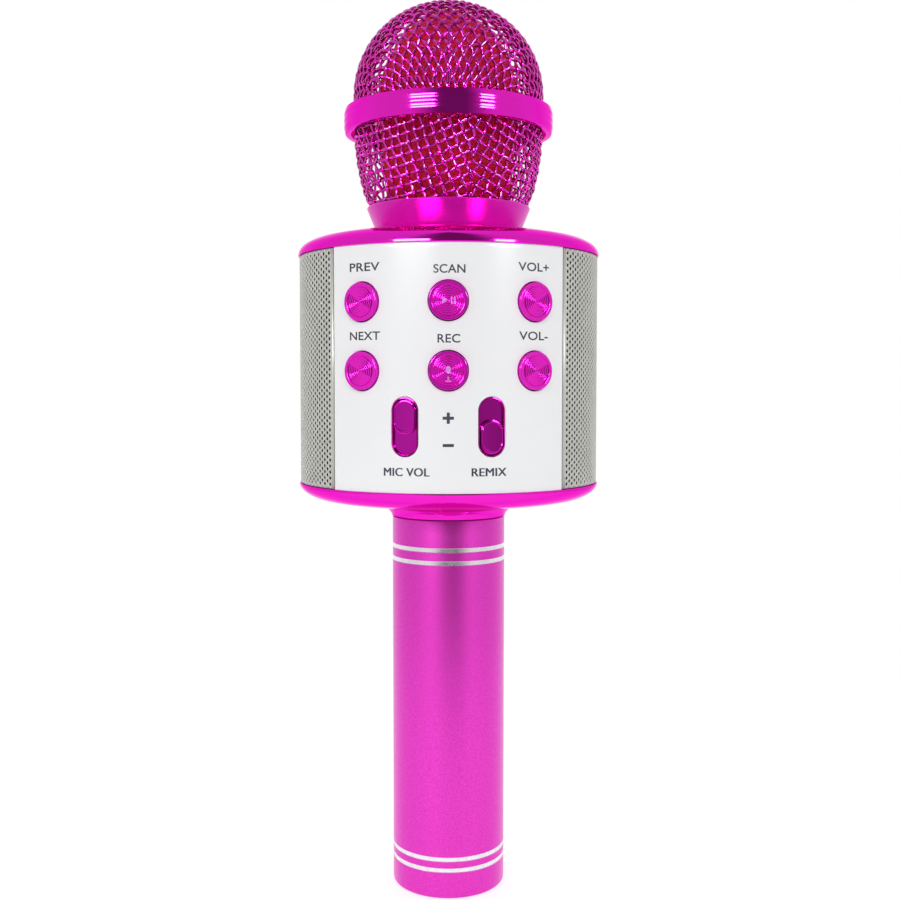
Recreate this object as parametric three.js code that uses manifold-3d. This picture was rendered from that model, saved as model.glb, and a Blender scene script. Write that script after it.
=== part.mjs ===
// A hand-held karaoke microphone for children, with a loudspeaker drum between its handle and its head.
// Millimetres, +Z up. The origin is the centre of the flat end of the handle, which it stands on.
// The control panel faces -Y. A bearing is an angle about Z, from the panel's centre line towards +X.
import * as THREE from "three";
import { mergeVertices } from "three/addons/utils/BufferGeometryUtils.js";
import Module from "manifold-3d";

const wasm = await Module();
wasm.setup();

// ---------- driving dimensions ----------
const GAP = 0.3; // clearance between neighbouring pieces
const HANDLE = { radius: 15.6, wall: 1.8, top: 103.6, edge: 1.2 };
const DRUM = { radius: 41, bottom: 113.4, top: 174.6, wall: 2 };
const CAP_RADIUS = 41.3; // the two plated caps stand a little proud of the drum's wall
const HEAD = { radius: 26.2, domeCentre: 217.8, split: 211.5, wall: 1 }; // wall: depth of the woven wire
const MOUNT_RADIUS = 9.2; // the rubber mount that the capsule sits in
const BAND = { radius: 28.65, bottom: 208.3, top: 214.9 };
const PANEL_HALF_ANGLE = 45;
const BUTTON = { radius: 4.8, proud: 1.1, upperRow: 160.6, lowerRow: 143.5, sideBearing: 31.7 };
const PRESS_TRAVEL = 0.7;
const SLIDER = { bearing: 15.2, height: 129.7, width: 5.8, length: 13.8, knobLength: 8.6 };
const BOARD = { face: 26, thickness: 1.6, bottom: 117.5, top: 170.5 }; // face: its distance from the axis
const SCREW = { shank: 1.2, clearance: 1.5, head: 2.6, post: 2.6 }; // radii
const SPEAKER = { height: 144, flange: 19.8 };
const POWER = { height: 126, travel: 4.4 };

const FACETS_LARGE = 32;
const FACETS_MEDIUM = 20;
const FACETS_SMALL = 16;
const WALL_SEGMENTS = 5; // half the number of flats across a quarter of the drum
const FRONT = -Math.PI / 2; // the panel's direction as an angle from +X

// ---------- finishes ----------
const finish = (color, roughness, metalness) =>
  new THREE.MeshStandardMaterial({ color, roughness, metalness });
const plated = finish(0xd312b4, 0.08, 1);
const anodised = finish(0xd83ab8, 0.35, 1);
const crimsonFoam = finish(0x8c1636, 0.95, 0);
const whiteGloss = finish(0xf1f2f3, 0.18, 0);
const greyMetal = finish(0xa9aaa4, 0.45, 0.6);
const blackPlastic = finish(0x1d1d20, 0.55, 0);
const blackRubber = finish(0x151515, 0.8, 0);
const boardGreen = finish(0x1f6b3a, 0.5, 0);
const steel = finish(0xb8bcc0, 0.3, 1);
const ferrite = finish(0x3b3b3f, 0.6, 0.5);
const paper = finish(0x26262a, 0.9, 0);
const cellWrap = finish(0x2b6fb5, 0.35, 0);
const paleFoam = finish(0xd8d4c8, 0.95, 0);
const redLead = finish(0xa81e22, 0.5, 0);
const clearLens = finish(0xe9eef2, 0.1, 0);

// ---------- scene graph and shape helpers ----------
const microphone = new THREE.Group();

function radians(degrees) {
  return (degrees * Math.PI) / 180;
}

/** Adds a named mesh to the microphone, turned to a bearing and lifted to a height. */
function add(name, geometry, material, { bearing = 0, height = 0 } = {}) {
  const mesh = new THREE.Mesh(geometry, material);
  mesh.name = name;
  mesh.position.z = height;
  const turntable = new THREE.Group();
  turntable.rotation.z = radians(bearing);
  turntable.add(mesh);
  microphone.add(turntable);
  return mesh;
}

/** Turns a geometry into a manifold solid, so that it can be joined and cut. */
function solidOf(geometry) {
  const bare = geometry.index ? geometry.toNonIndexed() : geometry.clone();
  bare.deleteAttribute("normal");
  bare.deleteAttribute("uv");
  const merged = mergeVertices(bare, 1e-4);
  return new wasm.Manifold(
    new wasm.Mesh({
      numProp: 3,
      vertProperties: merged.attributes.position.array,
      triVerts: new Uint32Array(merged.index.array),
    }),
  );
}

function geometryOf(solid) {
  const { vertProperties, triVerts } = solid.getMesh();
  const geometry = new THREE.BufferGeometry();
  geometry.setAttribute("position", new THREE.BufferAttribute(new Float32Array(vertProperties), 3));
  geometry.setIndex(new THREE.BufferAttribute(new Uint32Array(triVerts), 1));
  geometry.computeVertexNormals();
  return geometry;
}

/** The first geometry with every following one cut out of it. */
function cut(geometry, ...tools) {
  return geometryOf(tools.reduce((solid, tool) => solid.subtract(solidOf(tool)), solidOf(geometry)));
}

function join(...geometries) {
  return geometryOf(geometries.map(solidOf).reduce((solid, more) => solid.add(more)));
}

/** Twice the signed area inside a profile, positive when it runs anticlockwise. */
function windingOf(profile) {
  return profile.reduce((sum, [r, z], i) => {
    const [nextR, nextZ] = profile[(i + 1) % profile.length];
    return sum + r * nextZ - nextR * z;
  }, 0);
}

/** A solid of revolution about Z from [radius, height] points, closed on itself or on the axis. */
function turned(profile, facets = FACETS_LARGE) {
  const ordered = windingOf(profile) > 0 ? profile : [...profile].reverse();
  const onAxis = ordered.filter(([r]) => r === 0).length >= 2;
  let points = ordered;
  if (onAxis) {
    const start = ordered.findIndex(([r], i) => r === 0 && ordered.at(i - 1)[0] === 0);
    points = [...ordered.slice(start), ...ordered.slice(0, start)];
  } else {
    points = [...ordered, ordered[0]];
  }
  const geometry = new THREE.LatheGeometry(points.map(([r, z]) => new THREE.Vector2(r, z)), facets);
  return geometry.rotateX(Math.PI / 2);
}

/** Points on a quarter circle in a profile, from the side to the top. */
function dome(radius, centre, steps) {
  return Array.from({ length: steps + 1 }, (_, i) => {
    const angle = ((Math.PI / 2) * i) / steps;
    return i === steps
      ? [0, centre + radius]
      : [radius * Math.cos(angle), centre + radius * Math.sin(angle)];
  });
}

/** Stands a shape that was built along +Z so that +Z points outwards, along -Y. */
function facingFront(geometry) {
  return geometry.rotateX(Math.PI / 2);
}

/** Lays a shape that was built along +Z so that +Z points along +X, or along -X. */
function facingSide(geometry, side) {
  return geometry.rotateY((side * Math.PI) / 2);
}

/** Stands a shape that was built along +Z so that +Z points to the rear, along +Y. */
function facingRear(geometry) {
  return geometry.rotateX(-Math.PI / 2);
}

function box(size, centre) {
  return new THREE.BoxGeometry(...size).translate(...centre);
}

function extruded(shape, from, to, curveSegments = 4) {
  const settings = { depth: to - from, bevelEnabled: false, curveSegments };
  return new THREE.ExtrudeGeometry(shape, settings).translate(0, 0, from);
}

/** A slot outline with round ends, its length along the shape's y. */
function slotOutline(width, length) {
  const radius = width / 2;
  const straight = length / 2 - radius;
  const outline = new THREE.Shape();
  outline.absarc(0, straight, radius, 0, Math.PI, false);
  outline.absarc(0, -straight, radius, Math.PI, 2 * Math.PI, false);
  outline.closePath();
  return outline;
}

/** A slot-shaped block on the panel side, between two distances from the axis. */
function slotBlock(width, length, from, to) {
  return facingFront(extruded(slotOutline(width, length), from, to));
}

/** A curved wall between two bearings, from the bottom to the top of the drum. */
function curvedWall(innerRadius, outerRadius, centreBearing, halfAngle) {
  const centre = FRONT + radians(centreBearing);
  const half = radians(halfAngle);
  const outline = new THREE.Shape();
  outline.absarc(0, 0, outerRadius, centre - half, centre + half, false);
  outline.absarc(0, 0, innerRadius, centre + half, centre - half, true);
  outline.closePath();
  return extruded(outline, DRUM.bottom, DRUM.top, WALL_SEGMENTS);
}

/** A round cable along a smooth curve through the given points. */
function cable(points, radius, steps) {
  const section = new THREE.Shape();
  section.absarc(0, 0, radius, 0, 2 * Math.PI, false);
  const curve = new THREE.CatmullRomCurve3(points.map((p) => new THREE.Vector3(...p)));
  return new THREE.ExtrudeGeometry(section, { steps, extrudePath: curve, curveSegments: 4 });
}

// ---------- handle ----------
function addHandle() {
  const { radius, wall, top, edge } = HANDLE;
  const inside = radius - wall;
  const tube = turned([
    [inside, 0], [radius - edge, 0], [radius - 0.3 * edge, 0.3 * edge], [radius, edge],
    [radius, top], [inside, top],
  ]);
  add("handle_tube", tube, anodised);

  const plugRadius = inside - GAP;
  const plug = turned([
    [0, 0], [plugRadius, 0], [plugRadius, 9], [plugRadius - 2, 9], [plugRadius - 2, 2.5], [0, 2.5],
  ]);
  add("end_plug", plug, blackPlastic);

  const cell = turned([[0, 12], [9.15, 12], [9.15, 77], [3, 77], [3, 78.5], [0, 78.5]], FACETS_MEDIUM);
  add("battery_cell", cell, cellWrap);
  add("battery_sleeve", turned([[9.6, 14], [13.3, 14], [13.3, 75], [9.6, 75]], FACETS_MEDIUM), paleFoam);
  const lead = cable([
    [0, 0, 79], [0, 0, 95], [0, -2, 112], [0, -10, 122], [0, -18, 126], [0, -24, 127],
  ], 1, 15);
  add("battery_lead", lead, redLead);
}

// ---------- caps and walls of the loudspeaker drum ----------
function addCaps() {
  const spigot = HANDLE.radius - HANDLE.wall - GAP;
  const bottomCap = turned([
    [10, 92], [spigot, 92], [spigot, HANDLE.top + GAP], [15.8, HANDLE.top + GAP],
    [17, 105.6], [19, 107], [25, 107.7], [31, 108.1], [36, 109], [38.5, 110], [40.2, 111.1],
    [CAP_RADIUS, 112.5], [CAP_RADIUS, DRUM.bottom - GAP], [39.9, DRUM.bottom - GAP],
    [37.8, 111.2], [31, 109.6], [12, 109.4], [10, 107.4],
  ]);
  add("bottom_cap", bottomCap, plated);

  const topCap = turned([
    [14, 179.3], [31, 178.6], [37.6, 177.2], [39.9, 175.6], [39.9, DRUM.top + GAP],
    [CAP_RADIUS, DRUM.top + GAP], [CAP_RADIUS, 176.3], [40.2, 177.6], [38.5, 178.6], [36, 179.4],
    [31, 180.3], [25, 181.1], [18.7, 181.5], [18.7, 187.6], [14, 187.6],
  ]);
  add("top_cap", topCap, plated);
}

function addFrontPanel() {
  const inside = DRUM.radius - DRUM.wall;
  const holeRadius = BUTTON.radius + GAP;
  const tools = [];
  for (const bearing of [-BUTTON.sideBearing, 0, BUTTON.sideBearing]) {
    for (const height of [BUTTON.upperRow, BUTTON.lowerRow]) {
      const hole = facingFront(new THREE.CylinderGeometry(holeRadius, holeRadius, 8, FACETS_SMALL)
        .rotateX(Math.PI / 2).translate(0, 0, DRUM.radius - 1));
      tools.push(hole.translate(0, 0, height).rotateZ(radians(bearing)));
    }
  }
  for (const bearing of [-SLIDER.bearing, SLIDER.bearing]) {
    const slot = slotBlock(SLIDER.width + 1.2, SLIDER.length + 1.2, inside - 3, DRUM.radius + 3);
    tools.push(slot.translate(0, 0, SLIDER.height).rotateZ(radians(bearing)));
  }
  const panel = cut(curvedWall(inside, DRUM.radius, 0, PANEL_HALF_ANGLE), ...tools);
  add("front_panel", panel, whiteGloss);
}

// Everything that comes out through the rear panel: where it is, and the size of the hole for it.
const PORTS = {
  usb: { x: -9, height: 158, width: 15, tall: 7.6 },
  card: { x: 11, height: 158, width: 12.4, tall: 1.8 },
  charge: { x: -9, height: 143, width: 9, tall: 4 },
  audio: { x: 11, height: 143, radius: 3.4 },
  power: { x: 0, height: POWER.height, width: 10.4, tall: 4.2 },
  led: { x: -11, height: POWER.height, radius: 1.5 },
};

function addRearPanel() {
  const inside = DRUM.radius - DRUM.wall;
  const tools = Object.values(PORTS).map(({ x, height, width, tall, radius }) => {
    if (radius) {
      return new THREE.CylinderGeometry(radius, radius, 20, FACETS_SMALL).translate(x, DRUM.radius, height);
    }
    return box([width, 20, tall], [x, DRUM.radius, height]);
  });
  add("rear_panel", cut(curvedWall(inside, DRUM.radius, 180, PANEL_HALF_ANGLE), ...tools), whiteGloss);
}

function addSpeakerGrilles() {
  for (const [name, bearing] of [["speaker_grille_left", -90], ["speaker_grille_right", 90]]) {
    const sheet = curvedWall(DRUM.radius - 0.9, DRUM.radius - 0.1, bearing, 90 - PANEL_HALF_ANGLE - 0.5);
    add(name, sheet, greyMetal);
  }
}

// ---------- head: wire grille, band, collar and foam ----------
function addHead() {
  const { radius, domeCentre, split, wall } = HEAD;
  const upperEdge = split + GAP;
  const outer = dome(radius, domeCentre, 8);
  const inner = dome(radius - wall, domeCentre, 6).reverse();
  add("upper_grille", turned([[radius - wall, upperEdge], [radius, upperEdge], ...outer, ...inner]), plated);

  const bowl = [[20.9, 186.9], [21.6, 188.8], [23.2, 192.5], [24.1, 195.9], [25.25, 200.8],
    [25.8, 205.8], [25.9, split - GAP]];
  const bowlInside = bowl.map(([r, z]) => [r - wall, z]).reverse();
  add("lower_grille", turned([...bowl, ...bowlInside]), plated);

  const band = turned([
    [26.6, BAND.bottom], [28, BAND.bottom], [28.5, BAND.bottom + 0.9], [BAND.radius, 211.6],
    [28.5, BAND.top - 0.9], [28, BAND.top], [26.6, BAND.top],
  ]);
  add("grille_band", band, plated);

  const collar = turned([
    [19, 181.7], [20, 181.7], [20.7, 184.3], [22.1, 187.6], [22.4, 188.4], [21.8, 188.4],
    [21.2, 186.6], [19, 186.6],
  ]);
  add("grille_collar", collar, plated);

  // A soft cap, bored to slip over the capsule and its mount with little to spare.
  const foamBore = MOUNT_RADIUS + 0.6;
  const foam = turned([
    [foamBore, 188.8], [15.8, 188.8], [16.5, 194], [17.2, 203], [18.6, 212], [19.3, 218],
    [18.6, 223], [16.2, 229], [12.7, 234.6], [8.4, 238.8], [4.2, 240.6], [0, 241.2],
    [0, 221], [6, 221], [foamBore, 217.5],
  ], FACETS_MEDIUM);
  add("foam_windscreen", foam, crimsonFoam);
}

// ---------- microphone capsule on its post ----------
function addCapsule() {
  const post = turned([
    [4, 179.6], [13.6, 179.6], [13.6, 187.4], [9.5, 187.4], [8.6, 190], [8.6, 203.7], [4, 203.7],
  ], FACETS_MEDIUM);
  add("capsule_post", post, blackPlastic);
  const mount = turned([
    [2, 204], [MOUNT_RADIUS - 0.5, 204], [MOUNT_RADIUS, 205], [MOUNT_RADIUS, 214], [7.3, 214],
    [7.3, 206.3], [2, 206.3],
  ], FACETS_MEDIUM);
  add("shock_mount", mount, blackRubber);
  const capsule = turned([
    [0, 206.6], [7, 206.6], [7, 217.4], [6.5, 218.2], [4, 218.6], [0, 218.8],
  ], FACETS_MEDIUM);
  add("mic_capsule", capsule, steel);
  const lead = cable([
    [0, 0, 203.6], [0, 0, 186], [0, -2, 174], [0, -12, 162], [0, -20, 157], [0, -24, 156],
  ], 0.9, 15);
  add("capsule_lead", lead, blackRubber);
}

// ---------- chassis, with its posts for the board screws ----------
const SCREW_POSTS = [
  { x: -21.5, height: 168, side: -1 },
  { x: 21.5, height: 120, side: -1 },
  { x: -19.5, height: 120, side: 1 },
  { x: 19.5, height: 168, side: 1 },
];
const CHASSIS = { halfWidth: 28, halfDepth: 22, bottom: 115.5, top: 172.5, wall: 2 };
const SPEAKER_HOLE = 17.5; // radius
const LEAD_HOLE = 8; // radius, through the floor and the ceiling for the two leads

function addChassis() {
  const { halfWidth, halfDepth, bottom, top, wall } = CHASSIS;
  const middle = (bottom + top) / 2;
  const shell = cut(
    box([2 * halfWidth, 2 * halfDepth, top - bottom], [0, 0, middle]),
    box([2 * (halfWidth - wall), 3 * halfDepth, top - bottom - 2 * wall], [0, 0, middle]),
  );
  const posts = SCREW_POSTS.map(({ x, height, side }) =>
    new THREE.CylinderGeometry(SCREW.post, SCREW.post, 8, 12).translate(x, side * (halfDepth - 1.9), height),
  );
  const pilots = SCREW_POSTS.map(({ x, height, side }) =>
    new THREE.CylinderGeometry(SCREW.clearance, SCREW.clearance, 9, 12)
      .translate(x, side * (halfDepth - 0.9), height),
  );
  const speakerHoles = new THREE.CylinderGeometry(SPEAKER_HOLE, SPEAKER_HOLE, 3 * halfWidth, FACETS_MEDIUM)
    .rotateZ(Math.PI / 2).translate(0, 0, SPEAKER.height);
  const leadHole = new THREE.CylinderGeometry(LEAD_HOLE, LEAD_HOLE, 2 * top, FACETS_SMALL)
    .rotateX(Math.PI / 2);
  const chassis = cut(join(shell, ...posts), ...pilots, speakerHoles, leadHole);
  add("chassis", chassis, blackPlastic);
}

// ---------- loudspeakers, one behind each grille ----------
function addSpeakers() {
  for (const [hand, side] of [["left", -1], ["right", 1]]) {
    const place = { height: SPEAKER.height };
    const basket = turned([
      [SPEAKER.flange, 28.3], [SPEAKER.flange, 29.8], [16.5, 29.8], [15.5, 28], [9, 18], [9, 16],
      [10.5, 16], [17, 28.3],
    ], FACETS_MEDIUM);
    add(`speaker_basket_${hand}`, facingSide(basket, side), steel, place);
    const magnet = turned([[0, 9.6], [11, 9.6], [11, 15.7], [0, 15.7]], FACETS_MEDIUM);
    add(`speaker_magnet_${hand}`, facingSide(magnet, side), ferrite, place);
    const cone = turned([
      [0, 22.8], [2.5, 22.4], [4.6, 20.9], [5.2, 20.9], [14.9, 28.1], [15.6, 30.1], [18.6, 30.1],
      [18.6, 30.6], [15.2, 30.6], [14.4, 28.7], [5.1, 21.7], [2.6, 23.3], [0, 23.8],
    ], FACETS_MEDIUM);
    add(`speaker_cone_${hand}`, facingSide(cone, side), paper, place);
  }
}

// ---------- circuit boards and their screws ----------
/** A flat board on one side of the chassis, with a hole for each of that side's screws. */
function boardGeometry(halfWidth, side) {
  const { face, thickness, bottom, top } = BOARD;
  const middle = side * (face - thickness / 2);
  const holes = SCREW_POSTS.filter((post) => post.side === side).map(({ x, height }) =>
    new THREE.CylinderGeometry(SCREW.clearance, SCREW.clearance, 6, 12).translate(x, middle, height),
  );
  return cut(box([2 * halfWidth, thickness, top - bottom], [0, middle, (bottom + top) / 2]), ...holes);
}

function addBoards() {
  add("main_board", boardGeometry(24, -1), boardGreen);
  add("port_board", boardGeometry(22, 1), boardGreen);
  SCREW_POSTS.forEach(({ x, height, side }, index) => {
    const seat = BOARD.face + GAP;
    const screw = turned([
      [0, 18], [SCREW.shank, 18], [SCREW.shank, seat], [SCREW.head, seat], [SCREW.head, seat + 1.2],
      [SCREW.head - 0.8, seat + 1.8], [0, seat + 1.8],
    ], 12);
    const upright = side < 0 ? facingFront(screw) : facingRear(screw);
    add(`board_screw_${index + 1}`, upright.translate(x, 0, height), steel);
  });
}

// ---------- push buttons and the tact switches under them ----------
const BUTTONS = [
  { name: "prev", bearing: -BUTTON.sideBearing, height: BUTTON.upperRow },
  { name: "scan", bearing: 0, height: BUTTON.upperRow },
  { name: "volume_up", bearing: BUTTON.sideBearing, height: BUTTON.upperRow },
  { name: "next", bearing: -BUTTON.sideBearing, height: BUTTON.lowerRow },
  { name: "record", bearing: 0, height: BUTTON.lowerRow },
  { name: "volume_down", bearing: BUTTON.sideBearing, height: BUTTON.lowerRow },
];
const SWITCH = { half: 3, tall: 3.5, bore: 1.9 };

function addButtons() {
  const switchTop = BOARD.face + GAP + SWITCH.tall;
  for (const { name, bearing, height } of BUTTONS) {
    const angle = radians(bearing);
    const mouth = switchTop / Math.cos(angle); // distance from the axis at which the stem meets the switch
    const stemTip = mouth - 0.4;
    const crown = DRUM.radius + BUTTON.proud;
    const { radius } = BUTTON;
    const button = turned([
      [0, stemTip], [1.5, stemTip], [1.5, 37.6], [radius + 0.8, 37.6], [radius + 0.8, 38.4],
      [radius, 38.4], [radius, crown - 0.5], [radius - 0.5, crown - 0.15], [0, crown],
    ], FACETS_SMALL);
    add(`${name}_button`, facingFront(button), plated, { bearing, height });

    const centreX = mouth * Math.sin(angle) * 0.98;
    const housing = box([2 * SWITCH.half, SWITCH.tall, 2 * SWITCH.half],
      [centreX, -(switchTop - SWITCH.tall / 2), height]);
    const boreDepth = PRESS_TRAVEL + 1;
    const bore = facingFront(new THREE.CylinderGeometry(SWITCH.bore, SWITCH.bore, 8, 12)
      .rotateX(Math.PI / 2).translate(0, 0, mouth - boreDepth + 4));
    bore.translate(0, 0, height).rotateZ(angle);
    add(`${name}_switch`, cut(housing, bore), blackPlastic);
  }
}

// ---------- slide controls: plated well, moving knob and potentiometer ----------
const SLIDERS = [
  { name: "mic_volume", bearing: -SLIDER.bearing, end: 1 },
  { name: "remix", bearing: SLIDER.bearing, end: -1 },
];
const KNOB_PLAY = 0.15; // left at each end of the knob's travel
const KNOB_SHIFT = (SLIDER.length - SLIDER.knobLength) / 2 - KNOB_PLAY;

function addSliders() {
  const { width, length, knobLength, height } = SLIDER;
  for (const { name, bearing, end } of SLIDERS) {
    const well = cut(
      join(slotBlock(width + 0.8, length + 0.8, 37.6, DRUM.radius), slotBlock(9, 17, 37.6, 38.4)),
      slotBlock(width, length, 39.2, DRUM.radius + 2),
      slotBlock(2.6, 8.2, 36, 40),
    );
    add(`${name}_well`, well, plated, { bearing, height });

    const knob = join(
      slotBlock(width - 0.4, knobLength, 39.5, DRUM.radius + 0.5),
      slotBlock(width - 1.2, knobLength - 1.4, DRUM.radius + 0.4, DRUM.radius + 1),
      facingFront(new THREE.CylinderGeometry(1, 1, 10, 12).rotateX(Math.PI / 2).translate(0, 0, 35)),
    );
    add(`${name}_knob`, knob, plated, { bearing, height: height + end * KNOB_SHIFT });

    const middleX = 8.3 * Math.sign(bearing);
    const body = box([8.6, 5.5, 19], [middleX, -(BOARD.face + GAP + 2.75), height]);
    const groove = slotBlock(2.8, 9.2, 29.2, 36).translate(0, 0, height).rotateZ(radians(bearing));
    add(`${name}_potentiometer`, cut(body, groove), steel);
  }
}

// ---------- sockets, switch and lamp on the port board ----------
function addPorts() {
  const root = BOARD.face + GAP;
  const { usb, card, charge, audio, power, led } = PORTS;

  const usbMouth = 39.4;
  const usbDepth = usbMouth - root;
  const usbShell = cut(
    box([14.4, usbDepth, 7], [usb.x, root + usbDepth / 2, usb.height]),
    box([12.6, 20, 5.2], [usb.x, usbMouth, usb.height]),
  );
  const usbTongue = box([11, 9, 1.8], [usb.x, usbMouth - 6, usb.height + 0.9]);
  add("usb_socket", join(usbShell, usbTongue), steel);

  const cardMouth = 33.8;
  add("card_slot", cut(
    box([14, cardMouth - root, 3], [card.x, (root + cardMouth) / 2, card.height]),
    box([11.4, 10, 1], [card.x, cardMouth, card.height]),
  ), steel);

  const chargeMouth = 39.4;
  add("charge_socket", cut(
    box([8, chargeMouth - root, 3], [charge.x, (root + chargeMouth) / 2, charge.height]),
    box([7, 12, 1.9], [charge.x, chargeMouth, charge.height]),
  ), steel);

  const jack = turned([
    [1.8, root + 1], [1.8, 37.3], [3, 37.3], [3, 32], [4, 32], [4, root], [0, root], [0, root + 1],
  ], FACETS_SMALL);
  add("audio_jack", facingRear(jack).translate(audio.x, 0, audio.height), blackPlastic);

  const switchMouth = 31;
  add("power_switch", cut(
    box([13, switchMouth - root, 6], [power.x, (root + switchMouth) / 2, power.height]),
    box([8.4, 5, 2.8], [power.x, switchMouth, power.height]),
  ), steel);
  const restX = power.x - POWER.travel / 2;
  add("power_knob", join(
    box([5, 5.4, 3.4], [restX, 39, power.height]),
    box([2.2, 9, 1.8], [restX, 33.5, power.height]),
  ), blackPlastic);

  const lamp = turned([
    [0, root], [2, root], [2, 30], [1.2, 30], [1.2, 38.8], [0.8, 39.2], [0, 39.3],
  ], FACETS_SMALL);
  add("status_lamp", facingRear(lamp).translate(led.x, 0, led.height), clearLens);
}

addHandle();
addCaps();
addFrontPanel();
addRearPanel();
addSpeakerGrilles();
addHead();
addCapsule();
addChassis();
addSpeakers();
addBoards();
addButtons();
addSliders();
addPorts();

export default microphone;
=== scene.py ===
"""A toy karaoke microphone: handle, speaker drum with its controls, and a woven-wire head, on a pale floor."""
import logging
import math
from dataclasses import dataclass
from enum import Enum
from typing import Any

import bmesh
import bpy
import numpy as np
from mathutils import Matrix


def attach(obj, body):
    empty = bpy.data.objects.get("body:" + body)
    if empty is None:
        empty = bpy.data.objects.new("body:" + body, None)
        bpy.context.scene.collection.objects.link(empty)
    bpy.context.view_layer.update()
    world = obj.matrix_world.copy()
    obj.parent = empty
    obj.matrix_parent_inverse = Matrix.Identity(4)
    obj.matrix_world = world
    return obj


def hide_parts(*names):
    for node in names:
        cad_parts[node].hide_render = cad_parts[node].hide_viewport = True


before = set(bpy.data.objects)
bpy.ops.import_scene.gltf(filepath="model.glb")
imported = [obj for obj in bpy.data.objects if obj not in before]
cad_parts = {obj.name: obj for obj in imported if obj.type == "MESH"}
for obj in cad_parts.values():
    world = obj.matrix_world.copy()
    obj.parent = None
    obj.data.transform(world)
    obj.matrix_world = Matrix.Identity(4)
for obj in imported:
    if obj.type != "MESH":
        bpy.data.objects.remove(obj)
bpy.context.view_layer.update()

LOG = logging.getLogger("microphone")
Tree = bpy.types.NodeTree
Socket = bpy.types.NodeSocket
MM = 0.001
DRUM_RADIUS = 41.0
CAP_RADIUS = 41.3
TURN_STEPS = 192
BUTTON_STEPS = 96
SIDE_COLUMN = 31.7
UPPER_ROW, LOWER_ROW = 160.6, 143.5
SLIDE_BEARING, SLIDE_HEIGHT = 15.2, 129.7
BEND_STEPS = 30
TURN_SHARE = 0.06


# ---------------------------------------------------------------------------------------------- mesh building

@dataclass
class Shell:
    """The points of one surface in millimetres, and its faces, each group of faces with its finish's number.

    Args:
        points: One row of x, y, z for each point.
        groups: Pairs of an array of faces (one row of point numbers each) and a finish number.
    """

    points: np.ndarray
    groups: list[tuple[np.ndarray, int]]

    def placed(self, bearing: float, height: float) -> "Shell":
        """The shell turned from its own axes on to the drum's wall: x along the wall, y up, z outwards.

        Args:
            bearing: Degrees round from the middle of the front panel, towards the right.
            height: Height of the shell's own zero above the floor, in millimetres.

        Returns:
            A new shell in the object's frame, where out = (sin b, -cos b) and along = (cos b, sin b).
        """
        turn = math.radians(bearing)
        along = np.array([math.cos(turn), math.sin(turn), 0.0])
        out = np.array([math.sin(turn), -math.cos(turn), 0.0])
        up = np.array([0.0, 0.0, 1.0])
        across, rise, proud = self.points.T
        moved = across[:, None] * along + (rise + height)[:, None] * up + proud[:, None] * out
        return Shell(moved, self.groups)

    def wrapped(self, radius: float, bearing: float, height: float) -> "Shell":
        """The shell bent round the drum: x becomes distance along the wall, y height, z distance off the wall.

        Args:
            radius: The wall's radius where z is zero.
            bearing: Degrees at x = 0.
            height: Height at y = 0.

        Returns:
            A new shell whose points are (r sin a, -r cos a, y + height), with a = b + x / radius and
            r = radius + z.
        """
        across, rise, proud = self.points.T
        angle = math.radians(bearing) + across / radius
        reach = radius + proud
        bent = np.stack([reach * np.sin(angle), -reach * np.cos(angle), rise + height], axis=1)
        return Shell(bent, self.groups)


def joined(*shells: Shell) -> Shell:
    """Puts several shells in one, each with its own points."""
    starts = np.cumsum([0] + [len(shell.points) for shell in shells[:-1]])
    groups = [(faces + start, slot) for shell, start in zip(shells, starts) for faces, slot in shell.groups]
    return Shell(np.concatenate([shell.points for shell in shells]), groups)


def grid_faces(rows: int, columns: int, close_rows: bool = False, close_columns: bool = False) -> np.ndarray:
    """Point numbers of the quads between the points of a grid that is stored row after row.

    Args:
        rows: Number of rows of points.
        columns: Number of points in a row.
        close_rows: Whether the last row joins the first.
        close_columns: Whether each row is a ring.

    Returns:
        One row of four point numbers for each quad.
    """
    down = np.arange(rows if close_rows else rows - 1)[:, None]
    over = np.arange(columns if close_columns else columns - 1)[None, :]
    below, beside = (down + 1) % rows, (over + 1) % columns
    corners = [down * columns + over, down * columns + beside, below * columns + beside,
               below * columns + over]
    whole = [np.broadcast_to(corner, (down.size, over.size)) for corner in corners]
    return np.stack(whole, axis=-1).reshape(-1, 4)


def flat_sheet(across: np.ndarray, up: np.ndarray) -> Shell:
    """A plain sheet in the wall's own axes, z = 0, with a point at each pair of the given distances.

    Args:
        across: Distances along the wall.
        up: Heights.

    Returns:
        The sheet, row after row.
    """
    x, y = np.meshgrid(across, up)
    return Shell(np.stack([x, y, np.zeros_like(x)], -1).reshape(-1, 3), [(grid_faces(len(up), len(across)), 0)])


def turned_points(profile: np.ndarray, steps: int) -> np.ndarray:
    """Points (r cos a, r sin a, h) of a profile of (r, h) turned once round, ring after ring.

    Args:
        profile: Points of the profile.
        steps: Points in each ring.

    Returns:
        One row of x, y, z for each point.
    """
    angle = np.linspace(0, 2 * math.pi, steps, endpoint=False)
    radius, height = profile[:, 0][:, None], profile[:, 1][:, None]
    level = np.broadcast_to(height, (len(profile), steps))
    return np.stack([radius * np.cos(angle), radius * np.sin(angle), level], -1).reshape(-1, 3)


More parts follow.
